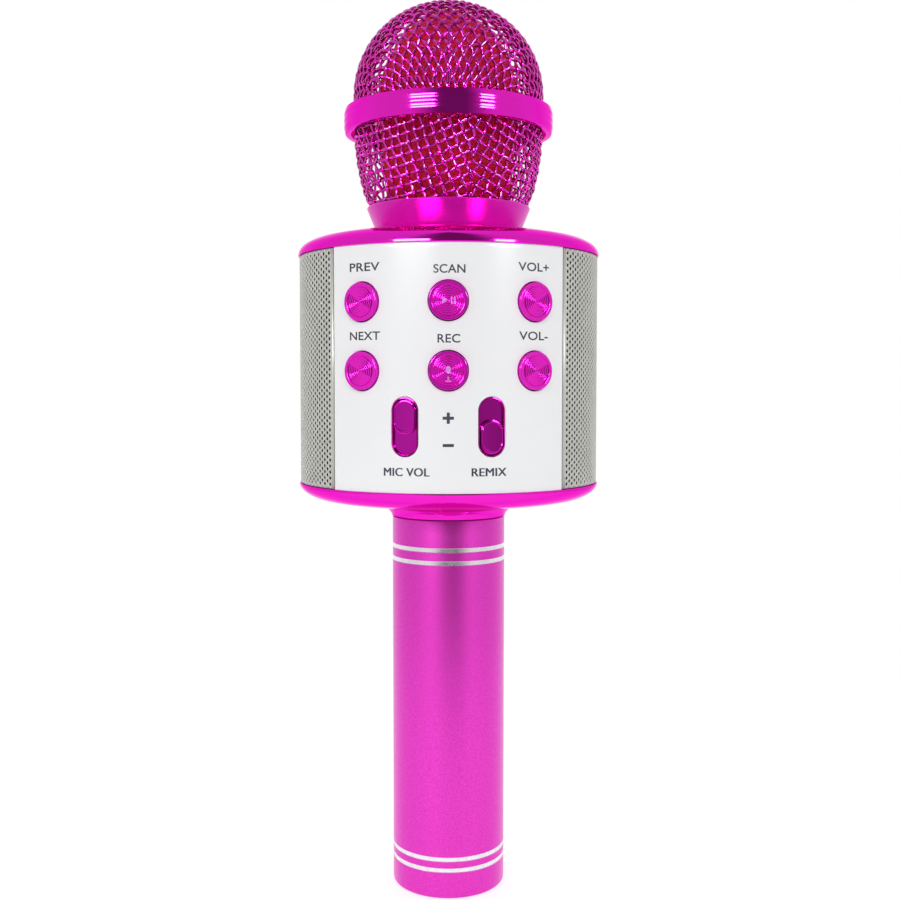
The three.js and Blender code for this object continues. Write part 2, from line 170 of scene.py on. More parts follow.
def through(points: list[tuple[float, float]], steps: int = 6) -> np.ndarray:
    """A smooth curve through the given points.

    Each span is a Catmull-Rom cubic: the slope at a point is half the step between its two neighbours.

    Args:
        points: Points of the profile, in order.
        steps: Points made for each span.

    Returns:
        The curve's points, the first and last given ones included.
    """
    given = np.array(points, dtype=float)
    padded = np.concatenate([2 * given[:1] - given[1:2], given, 2 * given[-1:] - given[-2:-1]])
    before, start, stop, after = padded[:-3], padded[1:-2], padded[2:-1], padded[3:]
    t = np.linspace(0, 1, steps, endpoint=False)[None, :, None]
    curve = 0.5 * (2 * start[:, None] + (stop - before)[:, None] * t
                   + (2 * before - 5 * start + 4 * stop - after)[:, None] * t ** 2
                   + (3 * start - before - 3 * stop + after)[:, None] * t ** 3)
    return np.concatenate([curve.reshape(-1, 2), given[-1:]])


def softened(points: list[tuple[float, float]], radius: float = 0.25, steps: int = 4,
             closed: bool = False) -> np.ndarray:
    """A profile whose corners are rounded by small parabolas.

    A corner P between A and B becomes (1 - t)^2 A' + 2 t (1 - t) P + t^2 B', where A' and B' lie on its
    two sides.

    Args:
        points: Corners of the profile.
        radius: How far from the corner the rounding starts, at most 0.45 of a side.
        steps: Points in each rounding.
        closed: Whether the last corner joins the first.

    Returns:
        The rounded profile.
    """
    given = np.array(points, dtype=float)
    before, after = np.roll(given, 1, axis=0), np.roll(given, -1, axis=0)
    back, on = before - given, after - given
    back_length = np.maximum(np.linalg.norm(back, axis=1, keepdims=True), 1e-9)
    on_length = np.maximum(np.linalg.norm(on, axis=1, keepdims=True), 1e-9)
    entry = given + back / back_length * np.minimum(radius, 0.45 * back_length)
    leave = given + on / on_length * np.minimum(radius, 0.45 * on_length)
    t = np.linspace(0, 1, steps)[None, :, None]
    arcs = (1 - t) ** 2 * entry[:, None] + 2 * t * (1 - t) * given[:, None] + t ** 2 * leave[:, None]
    if closed:
        return arcs.reshape(-1, 2)
    return np.concatenate([given[:1], arcs[1:-1].reshape(-1, 2), given[-1:]])


def revolved(profile: np.ndarray, steps: int = TURN_STEPS, closed: bool = False,
             finishes: np.ndarray | None = None) -> Shell:
    """Turns a profile of (radius, height) once round the z axis: (r cos a, r sin a, z).

    Args:
        profile: Points of the profile, its solid side on the left as it is followed.
        steps: Points in each ring.
        closed: Whether the profile is a loop.
        finishes: A finish number for each span of the profile; all zero if left out.

    Returns:
        The turned surface.
    """
    points = turned_points(profile, steps)
    faces = grid_faces(len(profile), steps, close_rows=closed, close_columns=True)
    if finishes is None:
        return Shell(points, [(faces, 0)])
    of_face = np.repeat(finishes, steps)
    return Shell(points, [(faces[of_face == slot], int(slot)) for slot in np.unique(finishes)])


def outline(width: float, height: float, corner: float, across: int, along: int) -> np.ndarray:
    """A rounded rectangle as points, from its lower left corner round to the right.

    The points are even in length plus turning, so that tight corners get their share. A corner radius of half
    the width gives a round-ended slot, and an equal width and height with it gives a circle.

    Args:
        width: Full width.
        height: Full height.
        corner: Radius of the corners.
        across: Number of steps on the bottom, and on the top, from one corner's middle to the next.
        along: Number of steps on each side.

    Returns:
        2 * (across + along) points.
    """
    corner = min(corner, width / 2, height / 2)
    quarter = []
    for side, start in enumerate((225, 315, 45, 135)):
        span = (width if side % 2 == 0 else height) / 2 - corner
        first = np.radians(start + np.linspace(0, 45, BEND_STEPS))
        last = np.radians(start + np.linspace(45, 90, BEND_STEPS))
        centre_x, centre_y = width / 2 - corner, height / 2 - corner
        spots = []
        for bend in (first, last):
            hub = np.stack([np.sign(np.round(np.cos(bend.mean()), 6)) * centre_x * np.ones_like(bend),
                            np.sign(np.round(np.sin(bend.mean()), 6)) * centre_y * np.ones_like(bend)], -1)
            spots.append(hub + corner * np.stack([np.cos(bend), np.sin(bend)], -1))
        dense = np.concatenate(spots)
        straight = np.arange(2 * BEND_STEPS - 1) == BEND_STEPS - 1
        turning = np.where(straight, 0.0, TURN_SHARE * (span + corner))
        step = np.linalg.norm(np.diff(dense, axis=0), axis=1) + turning
        reach = np.concatenate([[0], np.cumsum(step)])
        wanted = np.linspace(0, reach[-1], (across if side % 2 == 0 else along) + 1)[:-1]
        quarter.append(np.stack([np.interp(wanted, reach, dense[:, axis]) for axis in (0, 1)], -1))
    return np.concatenate(quarter)


def lofted(levels: list[tuple[float, float, float, float]], closed: bool = False, across: int = 12,
           along: int = 20) -> Shell:
    """Carries a profile round a rounded outline: each level is (width, height, corner, distance out).

    Args:
        levels: The outline's size at each step of the profile.
        closed: Whether the last level joins the first; if not, the last one is closed with a flat face.
        across: Steps on each end of the outline.
        along: Steps on each side of the outline.

    Returns:
        The surface, in the drum wall's own axes.
    """
    rings = [np.column_stack([outline(width, height, corner, across, along), np.full(2 * (across + along), out)])
             for width, height, corner, out in levels]
    count = 2 * (across + along)
    groups = [(grid_faces(len(levels), count, close_rows=closed, close_columns=True), 0)]
    if not closed:
        groups.append((np.arange((len(levels) - 1) * count, len(levels) * count)[None, :], 0))
        groups.append((np.arange(count)[None, ::-1], 0))
    return Shell(np.concatenate(rings), groups)


def prism(corners: np.ndarray, base: float, top: float, taper: float = 1.0) -> Shell:
    """A flat shape with straight sides: its corners at two distances out.

    Args:
        corners: Corners of the shape, anticlockwise.
        base: Where its sides start.
        top: Where its face lies.
        taper: Size of the face over the size of the base, about their middle.

    Returns:
        The closed solid.
    """
    count = len(corners)
    middle = corners.mean(axis=0)
    face = middle + taper * (corners - middle)
    ends = ((corners, base), (face, top))
    points = np.concatenate([np.column_stack([ring, np.full(count, level)]) for ring, level in ends])
    sides = grid_faces(2, count, close_columns=True)
    lid, foot = np.arange(count, 2 * count)[None, :], np.arange(count)[None, ::-1]
    return Shell(points, [(sides, 0), (lid, 0), (foot, 0)])


def tubes(lines: np.ndarray, normals: np.ndarray, wire: np.ndarray, radius: float, sides: int = 6) -> Shell:
    """Round wires along many lines at once.

    At each point a ring lies across the line: p + r (cos a n + sin a (t x n)), with t the way along the line
    and n the surface's normal there. Rings of the same wire that follow each other are joined, and its two
    ends closed.

    Args:
        lines: Points of all the wires, one after the other.
        normals: Normal of the surface at each point.
        wire: The number of the wire that each point is on.
        radius: Radius of the wire.
        sides: Points in each ring.

    Returns:
        The wires as one shell.
    """
    follows = np.concatenate([wire[1:] == wire[:-1], [False]])
    leads = np.concatenate([[False], wire[1:] == wire[:-1]])
    index = np.arange(len(lines))
    way = lines[np.where(follows, index + 1, index)] - lines[np.where(leads, index - 1, index)]
    way /= np.maximum(np.linalg.norm(way, axis=1, keepdims=True), 1e-9)
    flat = np.cross(way, normals)
    flat /= np.maximum(np.linalg.norm(flat, axis=1, keepdims=True), 1e-9)
    rise = np.cross(flat, way)
    angle = np.arange(sides) * 2 * math.pi / sides
    rings = (lines[:, None] + radius * (np.cos(angle)[None, :, None] * rise[:, None]
                                        + np.sin(angle)[None, :, None] * flat[:, None]))
    start = index[follows][:, None] * sides
    here, beside = np.arange(sides)[None, :], (np.arange(sides)[None, :] + 1) % sides
    corners = [start + here, start + sides + here, start + sides + beside, start + beside]
    quads = np.stack(corners, -1).reshape(-1, 4)
    first = index[~leads & follows][:, None] * sides + here
    last = index[leads & ~follows][:, None] * sides + here[:, ::-1]
    return Shell(rings.reshape(-1, 3), [(quads, 0), (first, 0), (last, 0)])


def net_lines(count: int, samples: int) -> tuple[np.ndarray, np.ndarray]:
    """Whole-number lines of a net from -count to count, and evenly spaced places along each.

    Args:
        count: Number of lines on each side of the middle one, and half the length of a line, in pitches.
        samples: Places in each pitch.

    Returns:
        The line and the place along it of every point, one line after the other.
    """
    number = np.arange(-count, count + 1)
    along = np.arange(-count * samples, count * samples + 1) / samples
    line, run = [grid.ravel() for grid in np.meshgrid(number, along, indexing="ij")]
    return line, run


def crimped(line: np.ndarray, run: np.ndarray, crimp: float, other: bool) -> np.ndarray:
    """How far a woven wire swings out: +-crimp cos(pi s) at s pitches, the sign turning from line to line."""
    sign = np.where(line % 2 == 0, 1.0, -1.0) * (-1.0 if other else 1.0)
    return sign * crimp * np.cos(math.pi * run)


def wire_numbers(keep: np.ndarray, line: np.ndarray) -> np.ndarray:
    """Numbers the wires: a new one starts with each line and wherever a line comes back into the part kept."""
    return np.cumsum(np.concatenate([[0], (keep[1:] & ~keep[:-1]) | (line[1:] != line[:-1])]))


def made(name: str, shell: Shell, finishes: list[bpy.types.Material], crease: float = 34.0, closed: bool = True,
         weld: float = 1e-7) -> bpy.types.Object:
    """Turns a shell into a finished object at the origin.

    Points that meet are merged, and the faces of a closed shell are turned outwards.

    Args:
        name: Name of the piece.
        shell: Its surface.
        finishes: Materials, in the order of the shell's finish numbers.
        crease: Edges that turn by more than this many degrees stay sharp.
        closed: Whether the surface is a closed shell whose faces can be turned outwards.
        weld: Points closer than this, in metres, become one; 0 leaves them.

    Returns:
        The object, linked to the scene.
    """
    mesh = bpy.data.meshes.new(name)
    faces: list[list[int]] = []
    numbers: list[np.ndarray] = []
    for group, slot in shell.groups:
        faces.extend(group.tolist())
        numbers.append(np.full(len(group), slot, dtype=np.int32))
    mesh.from_pydata((shell.points * MM).tolist(), [], faces)
    mesh.polygons.foreach_set("material_index", np.concatenate(numbers))
    if weld > 0:
        shape = bmesh.new()
        shape.from_mesh(mesh)
        bmesh.ops.remove_doubles(shape, verts=shape.verts, dist=weld)
        if closed:
            bmesh.ops.recalc_face_normals(shape, faces=shape.faces)
        shape.to_mesh(mesh)
        shape.free()
    mesh.shade_smooth()
    mesh.set_sharp_from_angle(angle=math.radians(crease))
    for finish in finishes:
        mesh.materials.append(finish)
    piece = bpy.data.objects.new(name, mesh)
    bpy.context.scene.collection.objects.link(piece)
    LOG.info("%s: %d faces", name, len(mesh.polygons))
    return piece


def thickened(piece: bpy.types.Object, wall: float, edge: float = 0.0) -> bpy.types.Object:
    """Gives an open sheet its wall, inwards, and rounds its edges.

    Args:
        piece: The sheet.
        wall: Thickness in millimetres.
        edge: Width of the rounding along its edges, in millimetres.

    Returns:
        The same object.
    """
    solid = piece.modifiers.new("wall", "SOLIDIFY")
    solid.thickness = wall * MM
    solid.offset = -1.0
    solid.use_even_offset = False
    if edge > 0:
        bevel = piece.modifiers.new("edge", "BEVEL")
        bevel.width = edge * MM
        bevel.segments = 2
        bevel.limit_method = "ANGLE"
        bevel.angle_limit = math.radians(50)
    return piece


# ------------------------------------------------------------------------------------------------- finishes

def linear(colour: str) -> tuple[float, float, float, float]:
    """An sRGB hex colour as linear red, green, blue and an alpha of one."""
    parts = [int(colour[i:i + 2], 16) / 255 for i in (1, 3, 5)]
    return tuple(c / 12.92 if c <= 0.04045 else ((c + 0.055) / 1.055) ** 2.4 for c in parts) + (1.0,)


def add(tree: Tree, kind: str, inputs: dict[Any, Any] | None = None, **settings: Any) -> bpy.types.Node:
    """Adds a node with its settings, its constants and its links.

    Args:
        tree: The node tree.
        kind: The node's type.
        inputs: For each input, a constant or the output socket that feeds it.
        settings: The node's own properties.

    Returns:
        The node.
    """
    node = tree.nodes.new(kind)
    for key, value in settings.items():
        setattr(node, key, value)
    for key, value in (inputs or {}).items():
        if isinstance(value, Socket):
            tree.links.new(value, node.inputs[key])
        else:
            node.inputs[key].default_value = value
    return node


@dataclass(frozen=True)
class Finish:
    """What every finish shares: its colour, how the colour and gloss wander, and the fine relief of its surface.

    Args:
        colour: Main colour, sRGB.
        shade: Second colour, which the first wanders towards, sRGB.
        metallic: 1 for bare or plated metal.
        rough: Lowest and highest roughness.
        patch: Size in millimetres of the patches in colour and roughness.
        grain: Size in millimetres of the fine relief.
        relief: Depth in millimetres of the fine relief.
        coat: Weight of the clear coat over it.
        gloss: Specular level of the surface below the coat.
    """

    colour: str = "#808080"
    shade: str = "#707070"
    metallic: float = 0.0
    rough: tuple[float, float] = (0.35, 0.45)
    patch: float = 6.0
    grain: float = 0.3
    relief: float = 0.004
    coat: float = 0.0
    gloss: float = 0.5

    def pattern(self, tree: Tree, place: Socket) -> Socket:
        """Height of the fine relief, 0 to 1: soft noise of the grain's size."""
        noise = add(tree, "ShaderNodeTexNoise", {"Vector": place, "Scale": 1 / (self.grain * MM), "Detail": 2.0})
        return noise.outputs["Fac"]

    def tone(self, tree: Tree, place: Socket, height: Socket) -> Socket:
        """How far the colour goes from the first to the second, 0 to 1: patches that wander slowly."""
        noise = add(tree, "ShaderNodeTexNoise", {"Vector": place, "Scale": 1 / (self.patch * MM), "Detail": 3.0})
        return noise.outputs["Fac"]

    def extra(self, shader: bpy.types.Node) -> None:
        """Sets what only this finish has; the plain one has nothing more."""

    def material(self, name: str) -> bpy.types.Material:
        """Builds the material.

        Args:
            name: What the material is.

        Returns:
            A new material with its own nodes.
        """
        skin = bpy.data.materials.new(name)
        skin.use_nodes = True
        tree = skin.node_tree
        tree.nodes.clear()
        place = add(tree, "ShaderNodeTexCoord").outputs["Object"]
        height = self.pattern(tree, place)
        blend = self.tone(tree, place, height)
        colour = add(tree, "ShaderNodeMix", {0: blend, 6: linear(self.colour), 7: linear(self.shade)}, data_type="RGBA")
        rough = add(tree, "ShaderNodeMapRange", {"Value": blend, "From Min": 0.25, "From Max": 0.75,
                                                 "To Min": self.rough[0], "To Max": self.rough[1]})
        bump = add(tree, "ShaderNodeBump", {"Height": height, "Strength": 1.0, "Distance": self.relief * MM})
        shader = add(tree, "ShaderNodeBsdfPrincipled", {
            "Base Color": colour.outputs[2], "Metallic": self.metallic, "Roughness": rough.outputs[0],
            "Normal": bump.outputs[0], "Coat Weight": self.coat, "Coat Roughness": 0.05,
            "Specular IOR Level": self.gloss})
        self.extra(shader)
        add(tree, "ShaderNodeOutputMaterial", {"Surface": shader.outputs[0]})
        return skin


@dataclass(frozen=True)
class PlatedAbs(Finish):
    """Vacuum-metallised ABS under tinted lacquer: a coloured mirror with the faint swell of the moulding.

    Args:
        edge: Tint of the reflections at a glancing angle, linear.
    """

    colour: str = "#ee20ca"
    shade: str = "#e01bb9"
    metallic: float = 1.0
    rough: tuple[float, float] = (0.05, 0.10)
    patch: float = 14.0
    grain: float = 5.0
    relief: float = 0.012
    coat: float = 0.12
    edge: tuple[float, float, float] = (1.0, 0.32, 0.85)

    def extra(self, shader: bpy.types.Node) -> None:
        """At a glancing angle the lacquer keeps most of its colour instead of going white."""
        shader.inputs["Specular Tint"].default_value = (*self.edge, 1.0)


@dataclass(frozen=True)
class AnodisedTube(Finish):
    """Bead-blasted aluminium, dyed and anodised: satin, with a fine sparkle where the blasting left its pits."""

    colour: str = "#ec4ccd"
    shade: str = "#c42fa6"
    metallic: float = 1.0
    rough: tuple[float, float] = (0.27, 0.36)
    patch: float = 0.5
    grain: float = 0.32
    relief: float = 0.016


@dataclass(frozen=True)
class CutAluminium(Finish):
    """Bare aluminium where a tool has cut through the dye: bright, with fine turning lines round the tube."""

    colour: str = "#f4f3f5"
    shade: str = "#d8d6da"
    metallic: float = 1.0
    rough: tuple[float, float] = (0.14, 0.24)
    patch: float = 1.5
    grain: float = 0.16
    relief: float = 0.004

    def pattern(self, tree: Tree, place: Socket) -> Socket:
        """Turning lines: bands across z, one tool step apart."""
        wave = add(tree, "ShaderNodeTexWave", {"Vector": place, "Scale": 0.314 / (self.grain * MM), "Distortion": 0.3},
                   bands_direction="Z")
        return wave.outputs["Fac"]


@dataclass(frozen=True)
class WovenWire(PlatedAbs):
    """Steel wire, woven, pressed and then plated: glossy, with small patches that are duller and darker."""

    colour: str = "#e620bb"
    shade: str = "#a5128a"
    rough: tuple[float, float] = (0.10, 0.20)
    patch: float = 1.3
    grain: float = 0.9
    relief: float = 0.02
    coat: float = 0.7
    edge: tuple[float, float, float] = (1.0, 0.45, 0.9)


@dataclass(frozen=True)
class Perforated(Finish):
    """Powder-coated steel: an even pale grey satin with the coat's fine pebble."""

    colour: str = "#c3c4be"
    shade: str = "#b2b3ac"
    metallic: float = 0.25
    rough: tuple[float, float] = (0.38, 0.5)
    patch: float = 7.0
    grain: float = 0.25
    relief: float = 0.01


@dataclass(frozen=True)
class GlossWhite(Finish):
    """White ABS from a polished mould: glossy and even, with a slow swell that only its reflections show."""

    colour: str = "#f3f4f5"
    shade: str = "#edeeef"
    rough: tuple[float, float] = (0.16, 0.24)
    patch: float = 18.0
    grain: float = 8.0
    relief: float = 0.01
    gloss: float = 0.35


@dataclass(frozen=True)
class OpenFoam(Finish):
    """Reticulated polyurethane foam, dyed red: matt, with open pores darkened inside by painted shade."""

    colour: str = "#ec2350"
    shade: str = "#b00c36"
    rough: tuple[float, float] = (0.85, 1.0)
    patch: float = 0.9
    grain: float = 0.6
    relief: float = 0.12
    gloss: float = 0.1

    def pattern(self, tree: Tree, place: Socket) -> Socket:
        """Pores: the distance to the nearest cell's middle, so that each cell is a small pit."""
        cells = add(tree, "ShaderNodeTexVoronoi", {"Vector": place, "Scale": 1 / (self.grain * MM)})
        return cells.outputs["Distance"]

    def tone(self, tree: Tree, place: Socket, height: Socket) -> Socket:
        """Painted shade in the pores: dark in the pits, bright on the struts between them."""
        # Painted shade: the colour goes to the darker red towards each pore's pit.
        return add(tree, "ShaderNodeMapRange", {"Value": height, "From Min": 0.1, "From Max": 0.7, "To Min": 1.0,
                                                "To Max": 0.0}).outputs[0]

    def extra(self, shader: bpy.types.Node) -> None:
        """The struts catch a soft red sheen."""
        shader.inputs["Sheen Weight"].default_value = 0.3
        shader.inputs["Sheen Roughness"].default_value = 0.5
        shader.inputs["Sheen Tint"].default_value = (1.0, 0.12, 0.2, 1.0)


@dataclass(frozen=True)
class PaintedShadeCloth(Finish):
    """Black cloth behind the grilles, painted shade for the dark inside of the drum: threads over and under, drawn a
    little coarse so that the weave shows.
    """

    colour: str = "#15161a"
    shade: str = "#08090b"
    rough: tuple[float, float] = (0.8, 0.95)
    grain: float = 0.5
    relief: float = 0.08
    gloss: float = 0.2

    def pattern(self, tree: Tree, place: Socket) -> Socket:
        """Threads: two sets of bands, along z and round the drum, the higher one showing."""
        size = 0.314 / (self.grain * MM)
        rise = add(tree, "ShaderNodeTexWave", {"Vector": place, "Scale": size}, bands_direction="Z")
        over = add(tree, "ShaderNodeTexWave", {"Vector": place, "Scale": size}, bands_direction="Y")
        return add(tree, "ShaderNodeMath", {0: rise.outputs["Fac"], 1: over.outputs["Fac"]}, operation="MAXIMUM").outputs[0]


@dataclass(frozen=True)
class ClearLens(Finish):
    """A clear polycarbonate light pipe over a small lamp."""

    colour: str = "#e9f2ff"
    shade: str = "#cfdcf5"
    rough: tuple[float, float] = (0.05, 0.1)

    def extra(self, shader: bpy.types.Node) -> None:
        """Light passes into it."""
        shader.inputs["Transmission Weight"].default_value = 0.7
        shader.inputs["IOR"].default_value = 1.58


class Finishes:
    """All the materials of the microphone, made once."""

    def __init__(self) -> None:
        """Builds every material."""
        self.plated = PlatedAbs().material("plated ABS")
        # Painted shade: a darker copy of the plated finish for the recessed slide wells and their knobs.
        self.plated_painted_shade = PlatedAbs("#cd1ab2", "#bd15a4").material("plated ABS, painted shade")
        self.button = PlatedAbs("#e624cb", "#dc1fbf", metallic=0.55,
                                rough=(0.1, 0.16)).material("plated ABS, milky lacquer")
        self.collar = PlatedAbs("#e01fc0", "#d21ab2", metallic=0.4,
                                rough=(0.24, 0.3)).material("plated ABS, satin lacquer")
        # Painted highlight: the raised emblems are coloured pale lavender to stand for the light they catch.
        self.emblem = PlatedAbs("#f7b4fa", "#e895ee", metallic=0.3,
                                rough=(0.12, 0.2)).material("plated ABS, painted highlight")
        self.tube = AnodisedTube().material("blasted anodised aluminium")
        self.cut = CutAluminium().material("turned bare aluminium")
        self.wire = WovenWire().material("plated woven steel wire")
        self.sheet = Perforated().material("powder-coated perforated steel")
        self.white = GlossWhite().material("gloss white ABS")
        self.foam = OpenFoam().material("red open-cell foam")
        # Painted shade: the black cloth behind the grille holes stands for the dark inside of the drum.
        self.cloth = PaintedShadeCloth().material("black cloth, painted shade")
        self.ink = Finish("#2b2540", "#231d36", rough=(0.4, 0.55), patch=0.6, grain=0.12,
                          relief=0.004).material("pad-printed ink")
        self.black = Finish("#17181a", "#202124", rough=(0.34, 0.48), patch=3.0, grain=0.25,
                            relief=0.01).material("moulded black ABS")
        self.rubber = Finish("#1c1c1e", "#262628", rough=(0.6, 0.8), patch=2.0, grain=0.3,
                             relief=0.01).material("black silicone rubber")
        self.board = Finish("#1f6b3c", "#185530", rough=(0.3, 0.45), patch=2.5, grain=0.6,
                            relief=0.01).material("solder mask on glass-epoxy board")
        self.steel = Finish("#c9c7c2", "#a9a7a3", metallic=1.0, rough=(0.2, 0.34), patch=2.0, grain=0.2,
                            relief=0.004).material("nickel-plated steel")
        self.ferrite = Finish("#2c2c2f", "#3a393b", rough=(0.55, 0.7), patch=1.0, grain=0.15,
                              relief=0.02).material("sintered ferrite")
        self.paper = Finish("#2a2724", "#3a3531", rough=(0.8, 0.95), patch=1.2, grain=0.3,
                            relief=0.04).material("pressed paper cone")
        self.wrap = Finish("#2f6fc4", "#285fab", rough=(0.25, 0.35), patch=8.0, grain=3.0,
                           relief=0.01).material("heat-shrunk PVC wrap")
        self.pale_foam = Finish("#e8e4da", "#d4cfc2", rough=(0.85, 1.0), patch=1.0, grain=0.6,
                                relief=0.1).material("pale polyethylene foam")
        self.lead = Finish("#b3262b", "#951c22", rough=(0.4, 0.5), patch=2.0, grain=0.5,
                           relief=0.004).material("PVC-insulated lead")
        self.lens = ClearLens().material("clear polycarbonate lens")


# --------------------------------------------------------------------------------------------- sub-assemblies

@dataclass
class Handle:
    """The anodised tube with two pairs of rings cut through its dye.

    Args:
        radius: Outer radius.
        bore: Inner radius.
        top: Height of its top edge.
        rings: Heights of the cut rings.
        ring: Width of a ring.
        depth: How deep a ring is cut.
    """

    radius: float = 15.6
    bore: float = 13.8
    top: float = 103.6
    rings: tuple[float, ...] = (8.1, 11.1, 92.1, 95.6)
    ring: float = 1.0
    depth: float = 0.14

    def build(self, finishes: Finishes) -> None:
        """Turns the tube: a straight wall that steps in at each ring, with rounded ends."""
        wall = [(self.bore, 0.0), (14.3, 0.0)]
        foot = through([(14.6, 0.03), (15.12, 0.3), (15.47, 0.72), (self.radius, 1.3)], 4)
        wall += [tuple(point) for point in foot]
        marks = [0] * (len(wall) - 1)
        for height in self.rings:
            half, floor = self.ring / 2, self.radius - self.depth
            wall += [(self.radius, height - half - 0.1), (floor, height - half), (floor, height + half),
                     (self.radius, height + half + 0.1)]
            marks += [0, 1, 1, 1]
        wall += [(self.radius, self.top - 0.2), (self.radius - 0.2, self.top), (self.bore, self.top)]
        marks += [0, 0, 0, 0]
        tube = made("handle_shell", revolved(np.array(wall), closed=True, finishes=np.array(marks)),
                    [finishes.tube, finishes.cut], crease=25.0)
        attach(tube, "casing")
        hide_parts("handle_tube")


@dataclass
class DrumCaps:
    """The two plated caps that hold the drum's walls, with the neck below and the socket above."""

    radius: float = CAP_RADIUS

    def bottom(self) -> np.ndarray:
        """Profile of the lower cap: a neck round the handle, a long shallow flare and a short upright lip."""
        flare = through([(15.85, 103.9), (16.1, 104.5), (17.2, 105.7), (19.2, 106.9), (25.0, 107.75), (31.0, 108.15),
                         (36.0, 109.0), (38.7, 110.05), (40.3, 111.2), (41.1, 112.3), (self.radius, 113.0)], 6)
        inside = [(self.radius - 0.15, 113.25), (39.7, 113.25), (37.8, 111.2), (31.0, 109.6), (12.0, 109.4),
                  (10.0, 107.4), (10.0, 92.0), (13.5, 92.0), (13.5, 103.7)]
        return np.concatenate([flare, np.array(inside)])

    def top(self) -> np.ndarray:
        """Profile of the upper cap: a short lip, a rounded shoulder and the socket for the head."""
        outer = through([(self.radius, 175.0), (41.15, 175.9), (40.45, 177.1), (39.0, 178.2), (36.5, 179.2),
                         (31.0, 180.25), (25.0, 181.05), (18.9, 181.45)], 6)
        inside = [(18.7, 181.6), (18.7, 187.4), (18.5, 187.6), (14.0, 187.6), (14.0, 179.3), (31.0, 178.6),
                  (37.6, 177.2), (39.7, 175.4), (39.7, 174.75), (self.radius - 0.15, 174.75)]
        return np.concatenate([outer, np.array(inside)])

    def build(self, finishes: Finishes) -> None:
        """Turns both caps."""
        for name, node, profile in (("lower_cap_shell", "bottom_cap", self.bottom()),
                                    ("upper_cap_shell", "top_cap", self.top())):
            cap = made(name, revolved(profile, closed=True), [finishes.plated])
            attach(cap, "casing")
            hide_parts(node)


@dataclass(frozen=True)
class Opening:
    """A hole in a curved panel.

    Args:
        along: Distance of its middle round the wall from the panel's middle, in millimetres.
        height: Height of its middle.
        width: Full width.
        tall: Full height.
        corner: Radius of its corners.
    """

    along: float
    height: float
    width: float
    tall: float
    corner: float


@dataclass
class CurvedPanel:
    """A white wall of the drum, a quarter turn wide, with its openings.

    The wall is unrolled to a flat sheet and cut into bands, and each band into cells of one width, so that bands
    meet point to point. An opening takes a few cells as its own tile, made of rings from its outline to the edge.

    Args:
        bearing: Degrees of its middle, from the front.
        openings: Its holes.
        bands: Heights of the bands' edges.
        spread: Degrees that it covers.
        cells: Number of cells in its width.
        margin: Least distance from an opening to its tile's edge, in millimetres.
        wall: Thickness of the wall.
    """

    bearing: float
    openings: list[Opening]
    bands: tuple[float, ...]
    spread: float = 89.8
    cells: int = 58
    margin: float = 0.5
    wall: float = 2.0

    def tile(self, edges: tuple[float, float], span: tuple[float, float], steps: tuple[int, int],
             hole: Opening | None) -> Shell:
        """One tile of the sheet.

        Without a hole its points are a plain grid. With one they are (1 - t) hole + t edge, for t from 0 to 1.

        Args:
            edges: Its left and right edge.
            span: Its lower and upper edge.
            steps: Number of cells across and up.
            hole: The opening in it.

        Returns:
            The tile, still flat.
        """
        (left, right), (low, high), (across, up) = edges, span, steps
        if hole is None:
            return flat_sheet(np.linspace(left, right, across + 1), np.linspace(low, high, up + 1))
        inner = outline(hole.width, hole.tall, hole.corner, across, up) + (hole.along, hole.height)
        x, y = np.linspace(left, right, across + 1)[:-1], np.linspace(low, high, up + 1)[:-1]
        outer = np.concatenate([np.stack([x, np.full(across, low)], -1), np.stack([np.full(up, right), y], -1),
                                np.stack([left + right - x, np.full(across, high)], -1),
                                np.stack([np.full(up, left), low + high - y], -1)])
        t = np.array([0, 0.08, 0.3, 0.6, 1.0])[:, None, None]
        rings = (1 - t) * inner + t * outer
        flat = np.concatenate([rings.reshape(-1, 2), np.zeros((rings.shape[0] * rings.shape[1], 1))], axis=1)
        return Shell(flat, [(grid_faces(len(t), len(inner), close_columns=True)[:, ::-1], 0)])

    def sheet(self) -> Shell:
        """All the tiles, bent round the drum."""
        width = math.radians(self.spread) * DRUM_RADIUS
        cell = width / self.cells
        tiles = []
        for low, high in zip(self.bands[:-1], self.bands[1:]):
            up = max(2, round((high - low) / cell))
            inside = sorted((hole for hole in self.openings if low < hole.height < high),
                            key=lambda hole: hole.along)
            last = 0
            for hole in inside + [None]:
                if hole is None:
                    start = stop = self.cells
                else:
                    reach = hole.width / 2 + self.margin
                    start = math.floor((hole.along - reach + width / 2) / cell)
                    stop = math.ceil((hole.along + reach + width / 2) / cell)
                for first, end, content in ((last, start, None), (start, stop, hole)):
                    if end > first:
                        edges = (first * cell - width / 2, end * cell - width / 2)
                        tiles.append(self.tile(edges, (low, high), (end - first, up), content))
                last = stop
        return joined(*tiles).wrapped(DRUM_RADIUS, self.bearing, 0.0)

    def build(self, name: str, node: str, finishes: Finishes) -> None:
        """Makes the panel and gives it its wall."""
        panel = made(name, self.sheet(), [finishes.white], closed=False, weld=2e-6)
        thickened(panel, self.wall, 0.16)
        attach(panel, "casing")
        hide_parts(node)


class Emblem(Enum):
    """What is raised in the middle of a push button."""

    RINGS = "rings"
    PLAY = "play"
    RECORD = "record"


